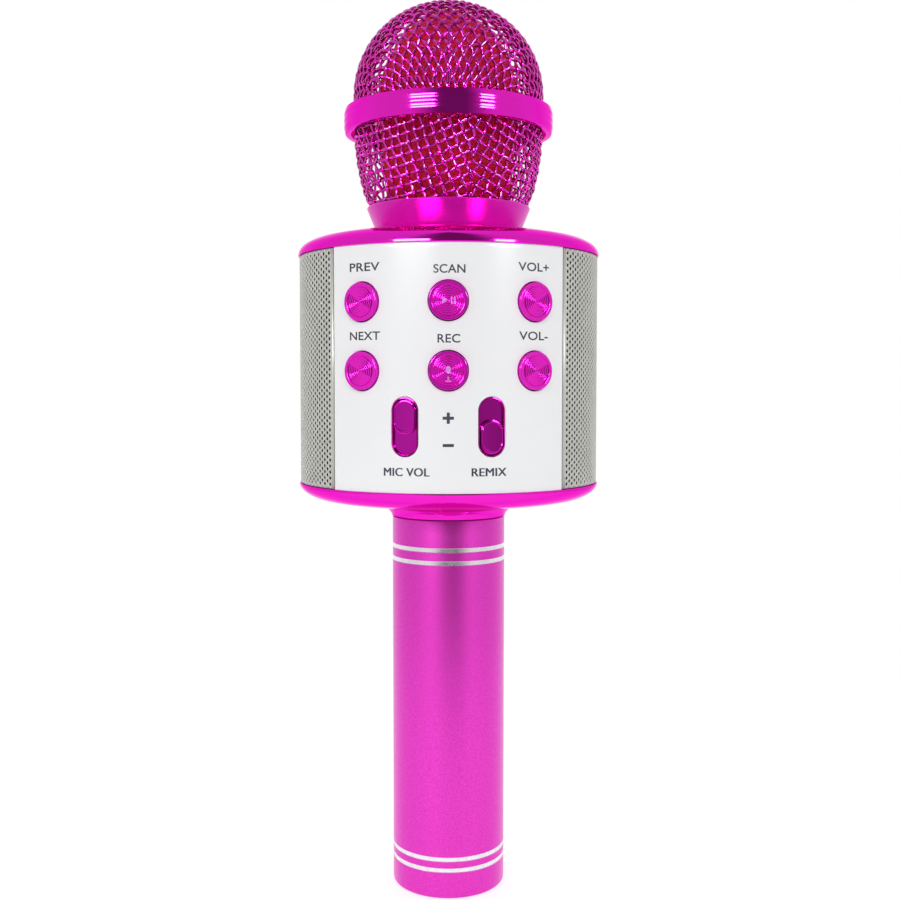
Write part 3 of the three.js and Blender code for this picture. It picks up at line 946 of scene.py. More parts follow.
@dataclass
class PushButton:
    """A plated round button: a flat rim, then fine rings turned into its face.

    Args:
        name: Name of its CAD node and body, without the ending.
        bearing: Degrees from the front's middle.
        height: Height of its middle.
        emblem: What stands in its middle.
        radius: Its radius.
        base: Distance of its back from the drum's axis.
        rim: Distance of its rim from the drum's axis.
        ring_pitch: Step between two rings.
        groove: Depth of a ring's groove.
    """

    name: str
    bearing: float
    height: float
    emblem: Emblem = Emblem.RINGS
    radius: float = 4.8
    base: float = 38.5
    rim: float = 41.85
    ring_pitch: float = 0.56
    groove: float = 0.1

    def face(self) -> np.ndarray:
        """Profile (radius, distance out): a side wall, a rounded rim, a groove, then the rings.

        The rings are V grooves, one ring pitch apart, in a low crown of 0.08 (1 - (r / R)^2).
        """
        side = softened([(0.0, self.base), (self.radius, self.base), (self.radius, self.rim), (3.95, self.rim),
                         (3.85, self.rim - 0.26), (3.72, self.rim - 0.22)], 0.18)
        r = np.linspace(3.68, 0.0, 93)
        cuts = np.maximum(0.0, 1 - np.abs((r / self.ring_pitch + 0.15) % 1 - 0.5) / 0.24)
        level = self.rim - 0.04 + 0.08 * (1 - (r / 3.7) ** 2) - self.groove * cuts
        return np.concatenate([side, np.stack([r, level], -1)])

    def marks(self) -> list[Shell]:
        """The raised emblem, as a few small prisms."""
        low, high = self.rim - 0.25, self.rim + 0.2
        turn = np.linspace(0, 2 * math.pi, 40, endpoint=False)
        disc = np.stack([np.cos(turn), np.sin(turn)], -1)
        if self.emblem is Emblem.PLAY:
            arrow = np.array([(-1.7, -1.25), (0.35, 0.0), (-1.7, 1.25)])
            bars = [np.array([(x, -1.2), (x + 0.5, -1.2), (x + 0.5, 1.2), (x, 1.2)]) for x in (0.55, 1.35)]
            return [prism(part, low, high, 0.5) for part in (arrow, *bars)]
        if self.emblem is Emblem.RECORD:
            stem = np.array([(-0.3, -2.4), (0.3, -2.4), (0.3, -1.3), (-0.3, -1.3)])
            foot = np.array([(-0.9, -2.75), (0.9, -2.75), (0.9, -2.35), (-0.9, -2.35)])
            head = prism(disc * (0.85, 1.25) + (0.0, 0.25), low, high, 0.55)
            return [head] + [prism(part, low, high, 0.5) for part in (stem, foot)]
        return []

    def build(self, finishes: Finishes) -> None:
        """Turns the button about its own axis and sets it in the wall."""
        profile = self.face()
        faces = grid_faces(len(profile), BUTTON_STEPS, close_columns=True)
        steep = np.abs(np.diff(profile[:, 1])) > 0.3 * np.abs(np.diff(profile[:, 0]))
        in_groove = np.repeat(steep & (profile[1:, 0] < 3.69), BUTTON_STEPS)
        body = Shell(turned_points(profile, BUTTON_STEPS), [(faces[~in_groove], 0), (faces[in_groove], 2)])
        # The emblems take the pale lavender finish, a painted highlight.
        raised = [Shell(part.points, [(faces, 1) for faces, _ in part.groups]) for part in self.marks()]
        shell = joined(body, *raised).placed(self.bearing, self.height)
        button = made(f"{self.name}_cap", shell, [finishes.button, finishes.emblem, finishes.plated])
        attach(button, f"{self.name}_button")
        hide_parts(f"{self.name}_button")


@dataclass
class SlideControl:
    """A plated well and the knob that slides in it.

    Args:
        name: Name of its CAD nodes, without the ending.
        bearing: Degrees from the front's middle.
        rest: Height of the knob's middle above the well's middle at rest.
        height: Height of the well's middle.
        width: Full width of the well.
        tall: Full height of the well.
    """

    name: str
    bearing: float
    rest: float
    height: float = SLIDE_HEIGHT
    width: float = 6.6
    tall: float = 14.6

    def well(self) -> Shell:
        """The well: a thin rim just proud of the panel, a straight wall and a plain floor below."""
        w, h = self.width, self.tall
        levels = [(w, h, w / 2, 38.4), (w, h, w / 2, 40.95), (w - 0.12, h - 0.12, w / 2, 41.04),
                  (w - 0.36, h - 0.36, w / 2, 41.06), (w - 0.52, h - 0.52, w / 2, 40.98),
                  (w - 0.6, h - 0.6, w / 2, 40.8), (w - 0.6, h - 0.6, w / 2, 40.2),
                  (w - 0.9, h - 0.9, w / 2, 40.0)]
        return lofted(levels, along=26)

    def knob(self) -> Shell:
        """The knob: a flat slab as wide as the well, with an oval bead on it."""
        levels = [(5.0, 8.0, 2.5, 40.05), (5.5, 8.5, 2.75, 40.1), (5.7, 8.6, 2.85, 40.3), (5.7, 8.6, 2.85, 40.95),
                  (5.62, 8.52, 2.81, 41.1), (5.5, 8.35, 2.75, 41.16), (5.42, 7.7, 2.71, 41.18),
                  (5.36, 7.6, 2.68, 41.26), (5.26, 7.5, 2.63, 41.42), (5.08, 7.32, 2.54, 41.48),
                  (4.9, 7.14, 2.45, 41.42), (4.8, 7.04, 2.4, 41.28), (4.7, 6.94, 2.35, 41.22),
                  (3.0, 5.2, 1.5, 41.2), (0.6, 2.8, 0.3, 41.2)]
        return lofted(levels)

    def build(self, finishes: Finishes) -> None:
        """Makes the well and the knob."""
        # Well and knob both take the darker plated copy, which is painted shade.
        well = made(f"{self.name}_bezel", self.well().placed(self.bearing, self.height), [finishes.plated_painted_shade])
        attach(well, "casing")
        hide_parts(f"{self.name}_well")
        slab = self.knob().placed(self.bearing, self.height + self.rest)
        knob = made(f"{self.name}_slider", slab, [finishes.plated_painted_shade])
        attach(knob, f"{self.name}_knob")
        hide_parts(f"{self.name}_knob")


@dataclass
class SpeakerSide:
    """A perforated grille of the drum and the black cloth behind it, the cloth being painted shade for the dark inside
    of the drum.

    Args:
        side: "left" or "right", as in the CAD node's name.
        bearing: Degrees of its middle from the front.
        holes: Number of columns of holes and of holes in a column.
        pitch: Steps between the holes round the wall and up it.
        hole: Radius of a hole.
        radius: Distance of the sheet from the drum's axis.
        low: Height of its lower edge.
        high: Height of its upper edge.
        spread: Degrees that it covers.
        cloth_radius: Distance of the cloth from the drum's axis.
        cloth_spread: Degrees that the cloth covers.
    """

    side: str
    bearing: float
    radius: float = 40.9
    low: float = 113.4
    high: float = 174.6
    spread: float = 89.0
    holes: tuple[int, int] = (51, 39)
    pitch: tuple[float, float] = (1.2, 1.55)
    hole: float = 0.46
    cloth_radius: float = 40.4
    cloth_spread: float = 88.4

    def sheet(self) -> Shell:
        """The perforated sheet, unrolled, then bent round the drum.

        Each hole is an octagon in a tile of its own, r (cos a, sin a), joined to eight points on the tile's edge.
        Every second column is half a step higher, and plain strips fill up to the sheet's edges.
        """
        columns, rows = self.holes
        step, rise = self.pitch
        width = math.radians(self.spread) * self.radius
        tall = self.high - self.low
        compass = np.array([(1, 0), (1, 1), (0, 1), (-1, 1), (-1, 0), (-1, -1), (0, -1), (1, -1)])
        edge = compass * (step / 2, rise / 2)
        angle = np.arange(8) * math.pi / 4
        ring = self.hole * np.stack([np.cos(angle), np.sin(angle)], -1)
        tile = np.concatenate([edge, ring])
        places = np.meshgrid(np.arange(columns), np.arange(rows), indexing="ij")
        column, row = [index.ravel() for index in places]
        last = (column % 2 == 1) & (row == rows - 1)
        up = (row - (rows - 1) / 2) * rise + (column % 2) * rise / 2
        centre = np.stack([(column - (columns - 1) / 2) * step, up], -1)[~last]
        points = (centre[:, None] + tile[None]).reshape(-1, 2)
        here = np.arange(8)
        beside = (here + 1) % 8
        quads = np.stack([here, beside, 8 + beside, 8 + here], -1)
        faces = (np.arange(len(centre))[:, None, None] * 16 + quads[None]).reshape(-1, 4)
        flat = np.concatenate([points, np.zeros((len(points), 1))], axis=1)
        whole = joined(Shell(flat, [(faces, 0)]), *self.margins(width, tall))
        return whole.wrapped(self.radius, self.bearing, (self.low + self.high) / 2)

    def margins(self, width: float, tall: float) -> list[Shell]:
        """Plain strips between the tiles and the sheet's edges: two sides, two ends, and the half steps."""
        columns, rows = self.holes
        step, rise = self.pitch
        half, top = columns * step / 2, rows * rise / 2
        strips = []
        for left, right in ((-width / 2, -half), (half, width / 2)):
            strips.append(flat_sheet(np.array([left, right]), np.linspace(-tall / 2, tall / 2, 3)))
        for number in range(columns):
            left = (number - columns / 2) * step
            shift = (number % 2) * rise / 2
            for low, high in ((-tall / 2, -top + shift), (top - shift, tall / 2)):
                strips.append(flat_sheet(left + np.array([0, 0.5, 1.0]) * step, np.array([low, high])))
        return strips

    def cloth(self) -> Shell:
        """The cloth: a plain piece of cylinder close behind the sheet."""
        half = math.radians(self.cloth_spread) * self.cloth_radius / 2
        flat = flat_sheet(np.linspace(-half, half, 61), np.linspace(self.low + 0.3, self.high - 0.3, 13))
        return flat.wrapped(self.cloth_radius, self.bearing, 0.0)

    def build(self, finishes: Finishes) -> None:
        """Makes the grille and its cloth."""
        grille = made(f"perforated_sheet_{self.side}", self.sheet(), [finishes.sheet], closed=False,
                      weld=2e-6)
        thickened(grille, 0.22)
        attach(grille, "casing")
        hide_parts(f"speaker_grille_{self.side}")
        # The black cloth behind the holes is painted shade for the drum's dark inside.
        cloth = made(f"painted_shade_cloth_{self.side}", self.cloth(), [finishes.cloth], closed=False)
        thickened(cloth, 0.2)
        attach(cloth, "casing")


@dataclass
class Legend:
    """A word printed on the front panel.

    Args:
        name: Name of the piece.
        words: What it says.
        bearing: Degrees of its middle.
        height: Height of its middle.
        tall: Height of its capitals.
        spread: How far the word is stretched sideways.
        bold: How far each stroke is widened, over the type size.
        strikes: How often it is printed, each time a little to one side.
    """

    name: str
    words: str
    bearing: float
    height: float
    tall: float = 2.05
    spread: float = 1.0
    bold: float = 0.014
    strikes: int = 1

    def strike_again(self, mesh: bpy.types.Mesh) -> None:
        """Prints the word again, a tenth of a millimetre to each side, so that its strokes grow wider."""
        shape = bmesh.new()
        shape.from_mesh(mesh)
        first = list(shape.verts) + list(shape.edges) + list(shape.faces)
        for number in range(1, self.strikes):
            copy = bmesh.ops.duplicate(shape, geom=first)["geom"]
            verts = [part for part in copy if isinstance(part, bmesh.types.BMVert)]
            turn = math.radians(self.bearing)
            shift = (0.09 if number % 2 else -0.09) * MM
            bmesh.ops.translate(shape, verts=verts, vec=(shift * math.cos(turn), shift * math.sin(turn), 0.0))
        shape.to_mesh(mesh)
        shape.free()

    def build(self, finishes: Finishes) -> None:
        """Sets the type flat, makes it a mesh, and bends it on to the panel with a film of ink."""
        curve = bpy.data.curves.new(self.name, "FONT")
        curve.body = self.words
        curve.align_x = "CENTER"
        curve.extrude = 0.01
        curve.offset = self.bold
        curve.space_character = 1.04
        flat = bpy.data.objects.new(self.name, curve)
        bpy.context.scene.collection.objects.link(flat)
        bpy.context.view_layer.update()
        mesh = bpy.data.meshes.new_from_object(flat.evaluated_get(bpy.context.evaluated_depsgraph_get()))
        bpy.data.objects.remove(flat)
        bpy.data.curves.remove(curve)
        points = np.empty(len(mesh.vertices) * 3)
        mesh.vertices.foreach_get("co", points)
        points = points.reshape(-1, 3)
        scale = self.tall / 0.7
        low, high = points.min(axis=0), points.max(axis=0)
        across = (points[:, 0] - (low[0] + high[0]) / 2) * scale * self.spread
        rise = (points[:, 1] - (0.35 if len(self.words) > 1 else (low[1] + high[1]) / 2)) * scale
        proud = np.where(points[:, 2] > 0, 0.03, -0.05)
        shell = Shell(np.stack([across, rise, proud], -1), []).wrapped(DRUM_RADIUS, self.bearing, self.height)
        mesh.vertices.foreach_set("co", (shell.points * MM).ravel())
        mesh.materials.clear()
        mesh.materials.append(finishes.ink)
        mesh.update()
        if self.strikes > 1:
            self.strike_again(mesh)
        word = bpy.data.objects.new(self.name, mesh)
        bpy.context.scene.collection.objects.link(word)
        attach(word, "casing")
        LOG.info("%s: %s", self.name, self.words)


@dataclass
class PrintedSign:
    """A plus or a minus printed between the two slide controls.

    Args:
        name: Name of the piece.
        height: Height of its middle.
        upright: Whether it has the upright stroke that makes it a plus.
        size: Length of a stroke.
        stroke: Width of a stroke.
    """

    name: str
    height: float
    upright: bool
    size: float = 2.75
    stroke: float = 0.74

    def build(self, finishes: Finishes) -> None:
        """Bends the outline on to the panel as a film of ink."""
        half, thin = self.size / 2, self.stroke / 2
        if self.upright:
            quarter_turn = np.array([(0.0, 1.0), (-1.0, 0.0)])
            arms = [np.array([(half, -thin), (half, thin), (thin, thin)])]
            for _ in range(3):
                arms.append(arms[-1] @ quarter_turn)
            corners = np.concatenate(arms)
        else:
            corners = np.array([(-half, -thin), (half, -thin), (half, thin), (-half, thin)])
        sign = made(self.name, prism(corners, -0.05, 0.03).wrapped(DRUM_RADIUS, 0.0, self.height), [finishes.ink])
        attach(sign, "casing")


@dataclass
class WireDome:
    """The upper grille: a flat square weave of wire pressed into a dome.

    A wire is a line of whole-number a or b, in pitches, on a net that the pressing has sheared. At an angle t
    from the top and an azimuth p from the front, the distance in the net is 9 t + t^2 (k - q cos 4p) pitches, and
    its direction is 45 degrees + p + w t sin 4p: the weave stays square at the corners of the sheet and is pulled
    into tall diamonds between them.

    Args:
        radius: Radius of the wires' middle.
        centre: Height of the dome's centre.
        squash: Height over radius.
        wire: Radius of a wire.
        crimp: How far a wire swings out and in over the crossings.
        edge: Height at which the wires end, under the band.
        samples: Points on a wire in each pitch.
        lines: Number of wires on each side of the middle one.
        reach: Pitches in a radian, near the top.
        stretch: k and q of the formula above.
        twist: w of the formula above.
        rounds: How often the formulas are put into each other.
    """

    radius: float = 25.36
    centre: float = 218.6
    squash: float = 0.974
    wire: float = 0.38
    crimp: float = 0.35
    edge: float = 212.6
    samples: int = 6
    lines: int = 19
    reach: float = 9.0
    stretch: tuple[float, float] = (-0.175, 0.725)
    twist: float = 0.05
    rounds: int = 24

    def net(self, a: np.ndarray, b: np.ndarray) -> tuple[np.ndarray, np.ndarray]:
        """Finds the angle from the top and the azimuth of points (a, b) of the net.

        The two formulas in the class's description are solved for t and p by putting each one's last value
        into the other until they settle.

        Args:
            a: Pitches along one set of wires.
            b: Pitches along the other.

        Returns:
            Angle from the top and azimuth from the front, in radians.
        """
        length = np.hypot(a, b)
        way = np.arctan2(b, a) - math.pi / 4
        even, uneven = self.stretch
        tilt, azimuth = length / self.reach, way.copy()
        for _ in range(self.rounds):
            azimuth = way - self.twist * tilt * np.sin(4 * azimuth)
            tilt = length / (self.reach + tilt * (even - uneven * np.cos(4 * azimuth)))
        return tilt, azimuth

    def wires(self) -> Shell:
        """All the wires: centre + (R + swing) n, with swing = +-crimp cos(pi s) at s pitches along the wire."""
        line, run = net_lines(self.lines, self.samples)
        parts = []
        for other in (False, True):
            tilt, azimuth = self.net(run, line) if other else self.net(line, run)
            swing = crimped(line, run, self.crimp, other)
            aside = np.sin(tilt)
            normal = np.stack([aside * np.sin(azimuth), -aside * np.cos(azimuth), np.cos(tilt)], -1)
            points = normal * (self.radius + swing)[:, None] * (1, 1, self.squash) + (0, 0, self.centre)
            keep = (points[:, 2] > self.edge) & (tilt < 2.2)
            wire = wire_numbers(keep, line)
            parts.append(tubes(points[keep], normal[keep], wire[keep], self.wire))
        return joined(*parts)

    def build(self, finishes: Finishes) -> None:
        """Makes the dome."""
        dome = made("wire_dome", self.wires(), [finishes.wire], crease=60.0, closed=False, weld=0.0)
        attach(dome, "grille_head")
        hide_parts("upper_grille")


@dataclass
class WireBowl:
    """The lower grille: a strip of the same weave rolled into a bowl, with an upright seam where its ends meet.

    The strip is cut as a ring sector whose middle line has the radius R / k, so that a point at azimuth p and a
    distance s up the wall lies at the angle k p and the radius R / k + s. Its wires are the lines of whole-number
    x or y, in pitches.

    Args:
        seam: Azimuth of the seam, degrees from the front.
        lean: k, the sector's angle over a full turn.
        bias: How far the weave is turned from the strip's middle line, in degrees.
        pitch: Step between wires.
        wire: Radius of a wire.
        crimp: How far a wire swings out and in over the crossings.
        samples: Points on a wire in each pitch.
        girth: R, the wall's middle radius.
        profile: Radius and height of the wall, from its foot up.
    """

    seam: float = 15.0
    lean: float = 0.40
    bias: float = 45.0
    pitch: float = 2.5
    wire: float = 0.38
    crimp: float = 0.35
    samples: int = 6
    girth: float = 24.0
    profile: tuple[tuple[float, float], ...] = (
        (20.7, 186.9), (21.35, 188.8), (22.9, 192.5), (23.8, 195.9), (24.75, 200.8), (25.25, 205.8),
        (25.3, 210.6))

    def wall(self) -> tuple[np.ndarray, np.ndarray]:
        """The wall's middle line as a smooth curve, and the distance along it from its middle."""
        curve = through([tuple(point) for point in self.profile], 12)
        curve = curve - (0.15, 0.0)
        length = np.concatenate([[0], np.cumsum(np.linalg.norm(np.diff(curve, axis=0), axis=1))])
        return curve, length - length[-1] / 2

    def wires(self) -> Shell:
        """All the wires, each swinging over and under the ones that it crosses."""
        curve, length = self.wall()
        slope = np.gradient(curve, length, axis=0)
        middle = self.girth / self.lean
        line, run = net_lines(int(90 / self.pitch), self.samples)
        parts = []
        for other in (False, True):
            x, y = (run, line) if other else (line, run)
            reach = np.hypot(x, y) * self.pitch
            turn = (np.arctan2(x, y) + math.radians(self.bias)) / self.lean
            azimuth = turn + math.radians(self.seam + 180)
            up = reach - middle
            swing = crimped(line, run, self.crimp, other)
            radius = np.interp(up, length, curve[:, 0])
            height = np.interp(up, length, curve[:, 1])
            lean_out = np.interp(up, length, slope[:, 1])
            lean_down = -np.interp(up, length, slope[:, 0])
            normal = np.stack([lean_out * np.sin(azimuth), -lean_out * np.cos(azimuth), lean_down], -1)
            normal /= np.maximum(np.linalg.norm(normal, axis=1, keepdims=True), 1e-9)
            wall = np.stack([radius * np.sin(azimuth), -radius * np.cos(azimuth), height], -1)
            points = wall + normal * swing[:, None]
            keep = (up > length[0]) & (up < length[-1]) & (np.abs(turn) < math.pi + 0.02)
            wire = wire_numbers(keep, line)
            parts.append(tubes(points[keep], normal[keep], wire[keep], self.wire))
        return joined(*parts)

    def build(self, finishes: Finishes) -> None:
        """Makes the bowl."""
        bowl = made("wire_bowl", self.wires(), [finishes.wire], crease=60.0, closed=False, weld=0.0)
        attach(bowl, "grille_head")
        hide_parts("lower_grille")


@dataclass
class HeadTrim:
    """The plated band round the head, the collar under it, and the foam windscreen inside."""

    def band(self) -> np.ndarray:
        """Profile of the band: a crowned outer face with two shallow ripples in it.

        Its radius is R - drop u^4 - ripple (1 - cos(3.6 pi u)), with u from -1 at its lower edge to 1 at its
        upper one.
        """
        u = np.linspace(-1, 1, 49)
        radius = 28.64 - 0.34 * u ** 4 - 0.028 * (1 - np.cos(3.6 * math.pi * u))
        outer = np.stack([radius, 211.6 + 3.15 * u], -1)
        return np.concatenate([[(26.7, 208.3), (27.9, 208.3)], outer, [(27.9, 214.9), (26.7, 214.9)]])

    def collar(self) -> np.ndarray:
        """Profile of the collar: a straight cone that opens upwards to a thin lip."""
        outer = np.linspace((19.8, 181.75), (22.4, 188.1), 8)
        inside = [(22.3, 188.4), (21.9, 188.4), (21.2, 186.8), (19.0, 186.6)]
        return np.concatenate([[(19.0, 181.7), (19.75, 181.7)], outer, inside])

    def foam(self) -> np.ndarray:
        """Profile of the foam: a cap over the capsule, hollow below."""
        outer = through([(16.4, 188.9), (17.3, 194.0), (18.0, 203.0), (18.9, 212.0), (19.3, 218.0), (18.6, 223.0),
                         (16.2, 229.0), (12.7, 234.6), (8.4, 238.8), (4.2, 240.7), (0.0, 241.2)], 8)
        return np.concatenate([[(0.0, 221.0), (6.0, 221.0), (9.8, 217.5), (9.8, 188.8), (16.0, 188.8)], outer])

    def build(self, finishes: Finishes) -> None:
        """Turns the three pieces."""
        for name, node, profile, closed, finish, slot in (
                ("head_band", "grille_band", self.band(), True, finishes.plated, "plated_abs"),
                ("head_collar", "grille_collar", self.collar(), True, finishes.collar, "plated_abs"),
                ("foam_cap", "foam_windscreen", self.foam(), False, finishes.foam, "foam")):
            piece = made(name, revolved(profile, closed=closed), [finish])
            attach(piece, "grille_head")
            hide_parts(node)


@dataclass
class Insides:
    """The CAD pieces that stay as they are and only get their finish."""

    finishes: Finishes

    def groups(self) -> dict[str, list[str]]:
        """Which pieces get which finish, by the finish's name."""
        sides = ("left", "right")
        keys = ("prev", "scan", "volume_up", "next", "record", "volume_down")
        return {
            "black": ["end_plug", "capsule_post", "chassis", "card_slot", "power_switch", "audio_jack",
                      "mic_volume_potentiometer", "remix_potentiometer"] + [f"{key}_switch" for key in keys],
            "rubber": ["shock_mount"],
            "plated": ["power_knob"],
            "steel": ["mic_capsule", "usb_socket", "charge_socket"]
            + [f"speaker_basket_{side}" for side in sides] + [f"board_screw_{i}" for i in (1, 2, 3, 4)],
            "ferrite": [f"speaker_magnet_{side}" for side in sides],
            "paper": [f"speaker_cone_{side}" for side in sides],
            "board": ["main_board", "port_board"],
            "wrap": ["battery_cell"],
            "pale_foam": ["battery_sleeve"],
            "lead": ["battery_lead", "capsule_lead"],
            "lens": ["status_lamp"],
        }

    def dress(self) -> None:
        """Puts each finish in the first material slot of its pieces."""
        for finish, names in self.groups().items():
            for name in names:
                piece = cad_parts[name]
                skin = getattr(self.finishes, finish)
                if piece.material_slots:
                    piece.material_slots[0].material = skin
                else:
                    piece.data.materials.append(skin)
            LOG.info("%s: %d pieces", finish, len(names))


# ------------------------------------------------------------------------------------------------------ studio

@dataclass
class Studio:
    """The floor, the light and the camera.

    Args:
        focal: Focal length of the lens.
        stand: Where the camera stands.
        pitch: Degrees that it looks down.
        dim: Level of the room's dim part.
        side: Level of the room at the sides.
        middle: Azimuth of the dim part's middle, in radians.
    """

    focal: float = 47.64
    stand: tuple[float, float, float] = (0.42, -332.2, 140.7)
    pitch: float = 3.26
    dim: float = 0.16
    side: float = 0.8
    middle: float = 0.09

    def camera(self) -> None:
        """A camera a third of a metre in front, looking slightly down."""
        lens = bpy.data.cameras.new("camera")
        lens.lens = self.focal
        lens.sensor_width = 36.0
        lens.clip_start = 0.01
        eye = bpy.data.objects.new("camera", lens)
        turn = Matrix.Rotation(math.radians(90 - self.pitch), 4, "X")
        eye.matrix_world = Matrix.Translation([value * MM for value in self.stand]) @ turn
        bpy.context.scene.collection.objects.link(eye)
        bpy.context.scene.camera = eye

    def off_centre(self, tree: Tree, parts: bpy.types.Node) -> Socket:
        """How far the azimuth atan2(x, -y) of a place or a way is from the middle of the dim part, in radians."""
        ahead = add(tree, "ShaderNodeMath", {0: parts.outputs["Y"], 1: -1.0}, operation="MULTIPLY")
        azimuth = add(tree, "ShaderNodeMath", {0: parts.outputs["X"], 1: ahead.outputs[0]}, operation="ARCTAN2")
        aside = add(tree, "ShaderNodeMath", {0: azimuth.outputs[0], 1: self.middle}, operation="SUBTRACT")
        return add(tree, "ShaderNodeMath", {0: aside.outputs[0]}, operation="ABSOLUTE").outputs[0]

    def floor(self) -> None:
        """A pale round table top that glows faintly, as a light table does."""
        angle = np.linspace(0, 2 * math.pi, 96, endpoint=False)
        ring = np.stack([300 * np.cos(angle), 300 * np.sin(angle), np.full(96, -0.05)], -1)
        skin = bpy.data.materials.new("pale matt floor")
        skin.use_nodes = True
        tree = skin.node_tree
        tree.nodes.clear()
        shader = add(tree, "ShaderNodeBsdfPrincipled", {"Base Color": (0.5, 0.5, 0.5, 1), "Roughness": 0.9,
                                                        "Emission Color": (1, 1, 1, 1), "Emission Strength": 0.64,
                                                        "Specular IOR Level": 0.1})
        add(tree, "ShaderNodeOutputMaterial", {"Surface": shader.outputs[0]})
        floor = made("floor", Shell(ring, [(np.arange(96)[None, :], 0)]), [skin], closed=False)

    def softbox(self, name: str, azimuth: float, elevation: float, reach: float, size: tuple[float, float],
                power: float, glossy: bool = True, diffuse: bool = True) -> None:
        """A flat light that faces the drum.

        Args:
            name: Its name.
            azimuth: Degrees from the front, towards the right.
            elevation: Degrees above the drum.
            reach: Distance in metres.
            size: Width and height in metres.
            power: Power in watts.
            glossy: Whether reflections show it.
            diffuse: Whether it lights matt surfaces.
        """
        lamp = bpy.data.lights.new(name, "AREA")
        lamp.shape = "RECTANGLE"
        lamp.size, lamp.size_y = size
        lamp.energy = power
        light = bpy.data.objects.new(name, lamp)
        turn, rise = math.radians(azimuth), math.radians(elevation)
        place = Matrix.Translation((reach * math.sin(turn) * math.cos(rise),
                                    -reach * math.cos(turn) * math.cos(rise), 0.14 + reach * math.sin(rise)))
        light.matrix_world = place @ Matrix.Rotation(turn, 4, "Z") @ Matrix.Rotation(math.pi / 2 - rise, 4, "X")
        light.visible_camera = False
        light.visible_glossy = glossy
        light.visible_diffuse = diffuse
        bpy.context.scene.collection.objects.link(light)

    def surroundings(self) -> None:
        """A white room behind the object that is dim on the side of the camera.

        In front the level rises from dim to side as the azimuth, atan2(x, -y), goes from 0.2 to 0.85 radians off
        the dim part's middle, and behind the object the rest up to one is added. The camera itself sees plain
        white.
        """
        world = bpy.data.worlds.new("studio")
        bpy.context.scene.world = world
        world.use_nodes = True
        tree = world.node_tree
        tree.nodes.clear()
        way = add(tree, "ShaderNodeTexCoord").outputs["Generated"]
        parts = add(tree, "ShaderNodeSeparateXYZ", {0: way})
        front = add(tree, "ShaderNodeMapRange",
                    {"Value": self.off_centre(tree, parts), "From Min": 0.20, "From Max": 0.85,
                     "To Min": self.dim, "To Max": self.side}, interpolation_type="SMOOTHSTEP")
        back = add(tree, "ShaderNodeMapRange", {"Value": parts.outputs["Y"], "From Min": -0.2, "From Max": 0.7,
                                                "To Min": 0.0, "To Max": 1.0 - self.side})
        level = add(tree, "ShaderNodeMath", {0: front.outputs[0], 1: back.outputs[0]}, operation="ADD")
        dim = add(tree, "ShaderNodeBackground", {"Color": (1, 1, 1, 1), "Strength": level.outputs[0]})
        plain = add(tree, "ShaderNodeBackground", {"Color": (1, 1, 1, 1), "Strength": 1.0})
        seen = add(tree, "ShaderNodeLightPath").outputs["Is Camera Ray"]
        both = add(tree, "ShaderNodeMixShader", {0: seen, 1: dim.outputs[0], 2: plain.outputs[0]})
        add(tree, "ShaderNodeOutputWorld", {"Surface": both.outputs[0]})

    def build(self) -> None:
        """Sets up everything round the object."""
        self.camera()
        self.floor()
        self.surroundings()
        self.softbox("strip left", -27, 16.9, 1.0, (0.44, 0.16), 10.5, diffuse=False)
        self.softbox("strip right", 42, 16.9, 1.0, (0.25, 0.16), 6.0, diffuse=False)
        self.softbox("front fill", 0, 30, 1.1, (0.9, 0.6), 5.5, glossy=False)
        bpy.context.scene.view_settings.view_transform = "Standard"


# ------------------------------------------------------------------------------------------------------- build

def round_wall(degrees: float) -> float:
    """Distance round the drum's wall for an angle in degrees, in millimetres."""
    return math.radians(degrees) * DRUM_RADIUS


def front_panel() -> CurvedPanel:
    """The front wall with six button holes and two round-ended slots."""
    holes = [Opening(round_wall(bearing), height, 10.2, 10.2, 5.1)
             for bearing in (-SIDE_COLUMN, 0.0, SIDE_COLUMN) for height in (UPPER_ROW, LOWER_ROW)]
    holes += [Opening(round_wall(bearing), SLIDE_HEIGHT, 7.0, 15.0, 3.5)
              for bearing in (-SLIDE_BEARING, SLIDE_BEARING)]
    return CurvedPanel(0.0, holes, (113.27, 121.85, 137.55, 149.45, 154.65, 166.55, 174.73))


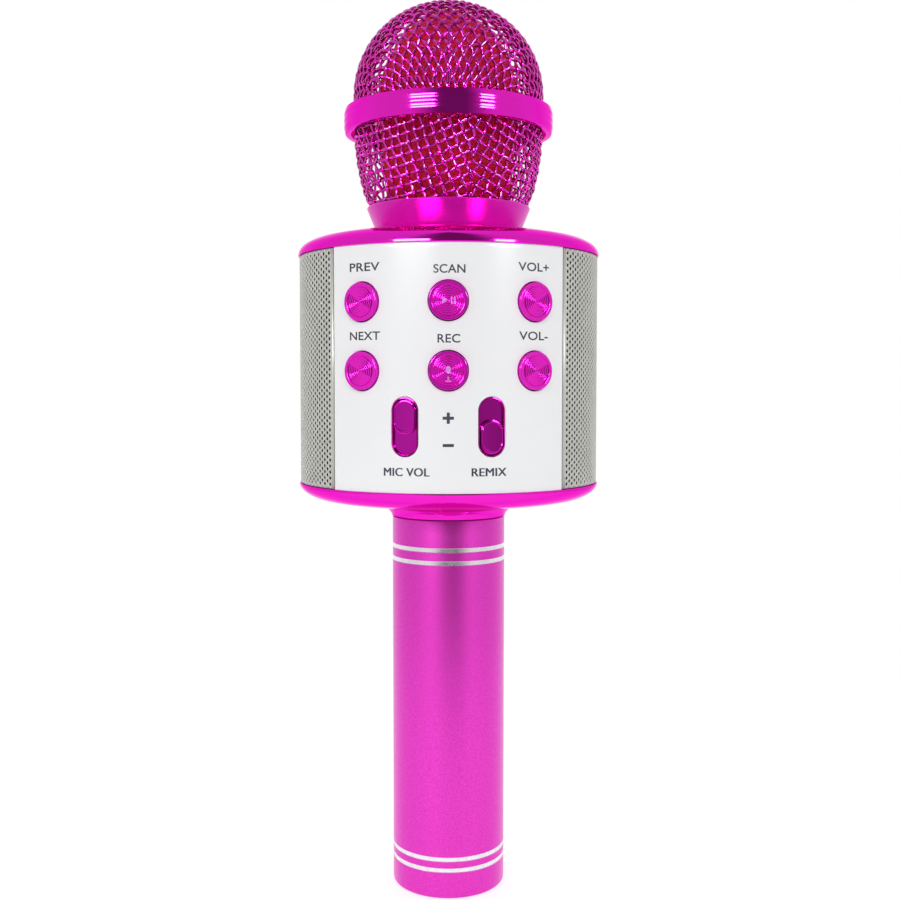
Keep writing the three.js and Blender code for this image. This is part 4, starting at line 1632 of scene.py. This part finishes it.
def rear_panel() -> CurvedPanel:
    """The rear wall with the openings of its sockets, switch and lamp."""
    places = [(9.0, 158.0, 15.0, 7.6, 0.8), (-11.0, 158.0, 12.4, 1.8, 0.6), (9.0, 143.0, 9.0, 4.0, 1.2),
              (-11.0, 143.0, 6.8, 6.8, 3.4), (0.0, 126.0, 10.4, 4.2, 0.8), (11.0, 126.0, 3.0, 3.0, 1.5)]
    holes = [Opening(DRUM_RADIUS * math.asin(x / DRUM_RADIUS), z, w, h, c) for x, z, w, h, c in places]
    return CurvedPanel(180.0, holes, (113.27, 122.5, 129.5, 138.5, 147.5, 152.8, 163.2, 174.73))


def main() -> None:
    """Builds the microphone, piece by piece, and its surroundings."""
    logging.basicConfig(level=logging.INFO, format="%(name)s: %(message)s")
    finishes = Finishes()
    Handle().build(finishes)
    DrumCaps().build(finishes)
    front_panel().build("front_wall", "front_panel", finishes)
    rear_panel().build("rear_wall", "rear_panel", finishes)
    for name, bearing, height, emblem in (
            ("prev", -SIDE_COLUMN, UPPER_ROW, Emblem.RINGS), ("scan", 0.0, UPPER_ROW, Emblem.PLAY),
            ("volume_up", SIDE_COLUMN, UPPER_ROW, Emblem.RINGS), ("next", -SIDE_COLUMN, LOWER_ROW, Emblem.RINGS),
            ("record", 0.0, LOWER_ROW, Emblem.RECORD), ("volume_down", SIDE_COLUMN, LOWER_ROW, Emblem.RINGS)):
        PushButton(name, bearing, height, emblem).build(finishes)
    SlideControl("mic_volume", -SLIDE_BEARING, 2.45).build(finishes)
    SlideControl("remix", SLIDE_BEARING, -2.45).build(finishes)
    for side, bearing in (("left", -90.0), ("right", 90.0)):
        SpeakerSide(side, bearing).build(finishes)
    for legend in (Legend("legend_prev", "PREV", -30.6, 169.2, spread=1.36),
                   Legend("legend_scan", "SCAN", 0.4, 168.3, spread=1.03),
                   Legend("legend_volume_up", "VOL+", 31.3, 169.2, spread=1.24),
                   Legend("legend_next", "NEXT", -30.6, 152.2, spread=1.19),
                   Legend("legend_record", "REC", 0.2, 151.4, spread=1.08),
                   Legend("legend_volume_down", "VOL-", 31.3, 152.2, spread=1.29),
                   Legend("legend_mic_volume", "MIC VOL", -14.7, 118.6, bold=0.0, strikes=3),
                   Legend("legend_remix", "REMIX", 14.3, 118.6, spread=1.06, bold=0.0, strikes=3)):
        legend.build(finishes)
    PrintedSign("legend_more", 131.9, upright=True).build(finishes)
    PrintedSign("legend_less", 125.2, upright=False).build(finishes)
    WireDome().build(finishes)
    WireBowl().build(finishes)
    HeadTrim().build(finishes)
    Insides(finishes).dress()
    Studio().build()


if __name__ == "__main__":
    main()
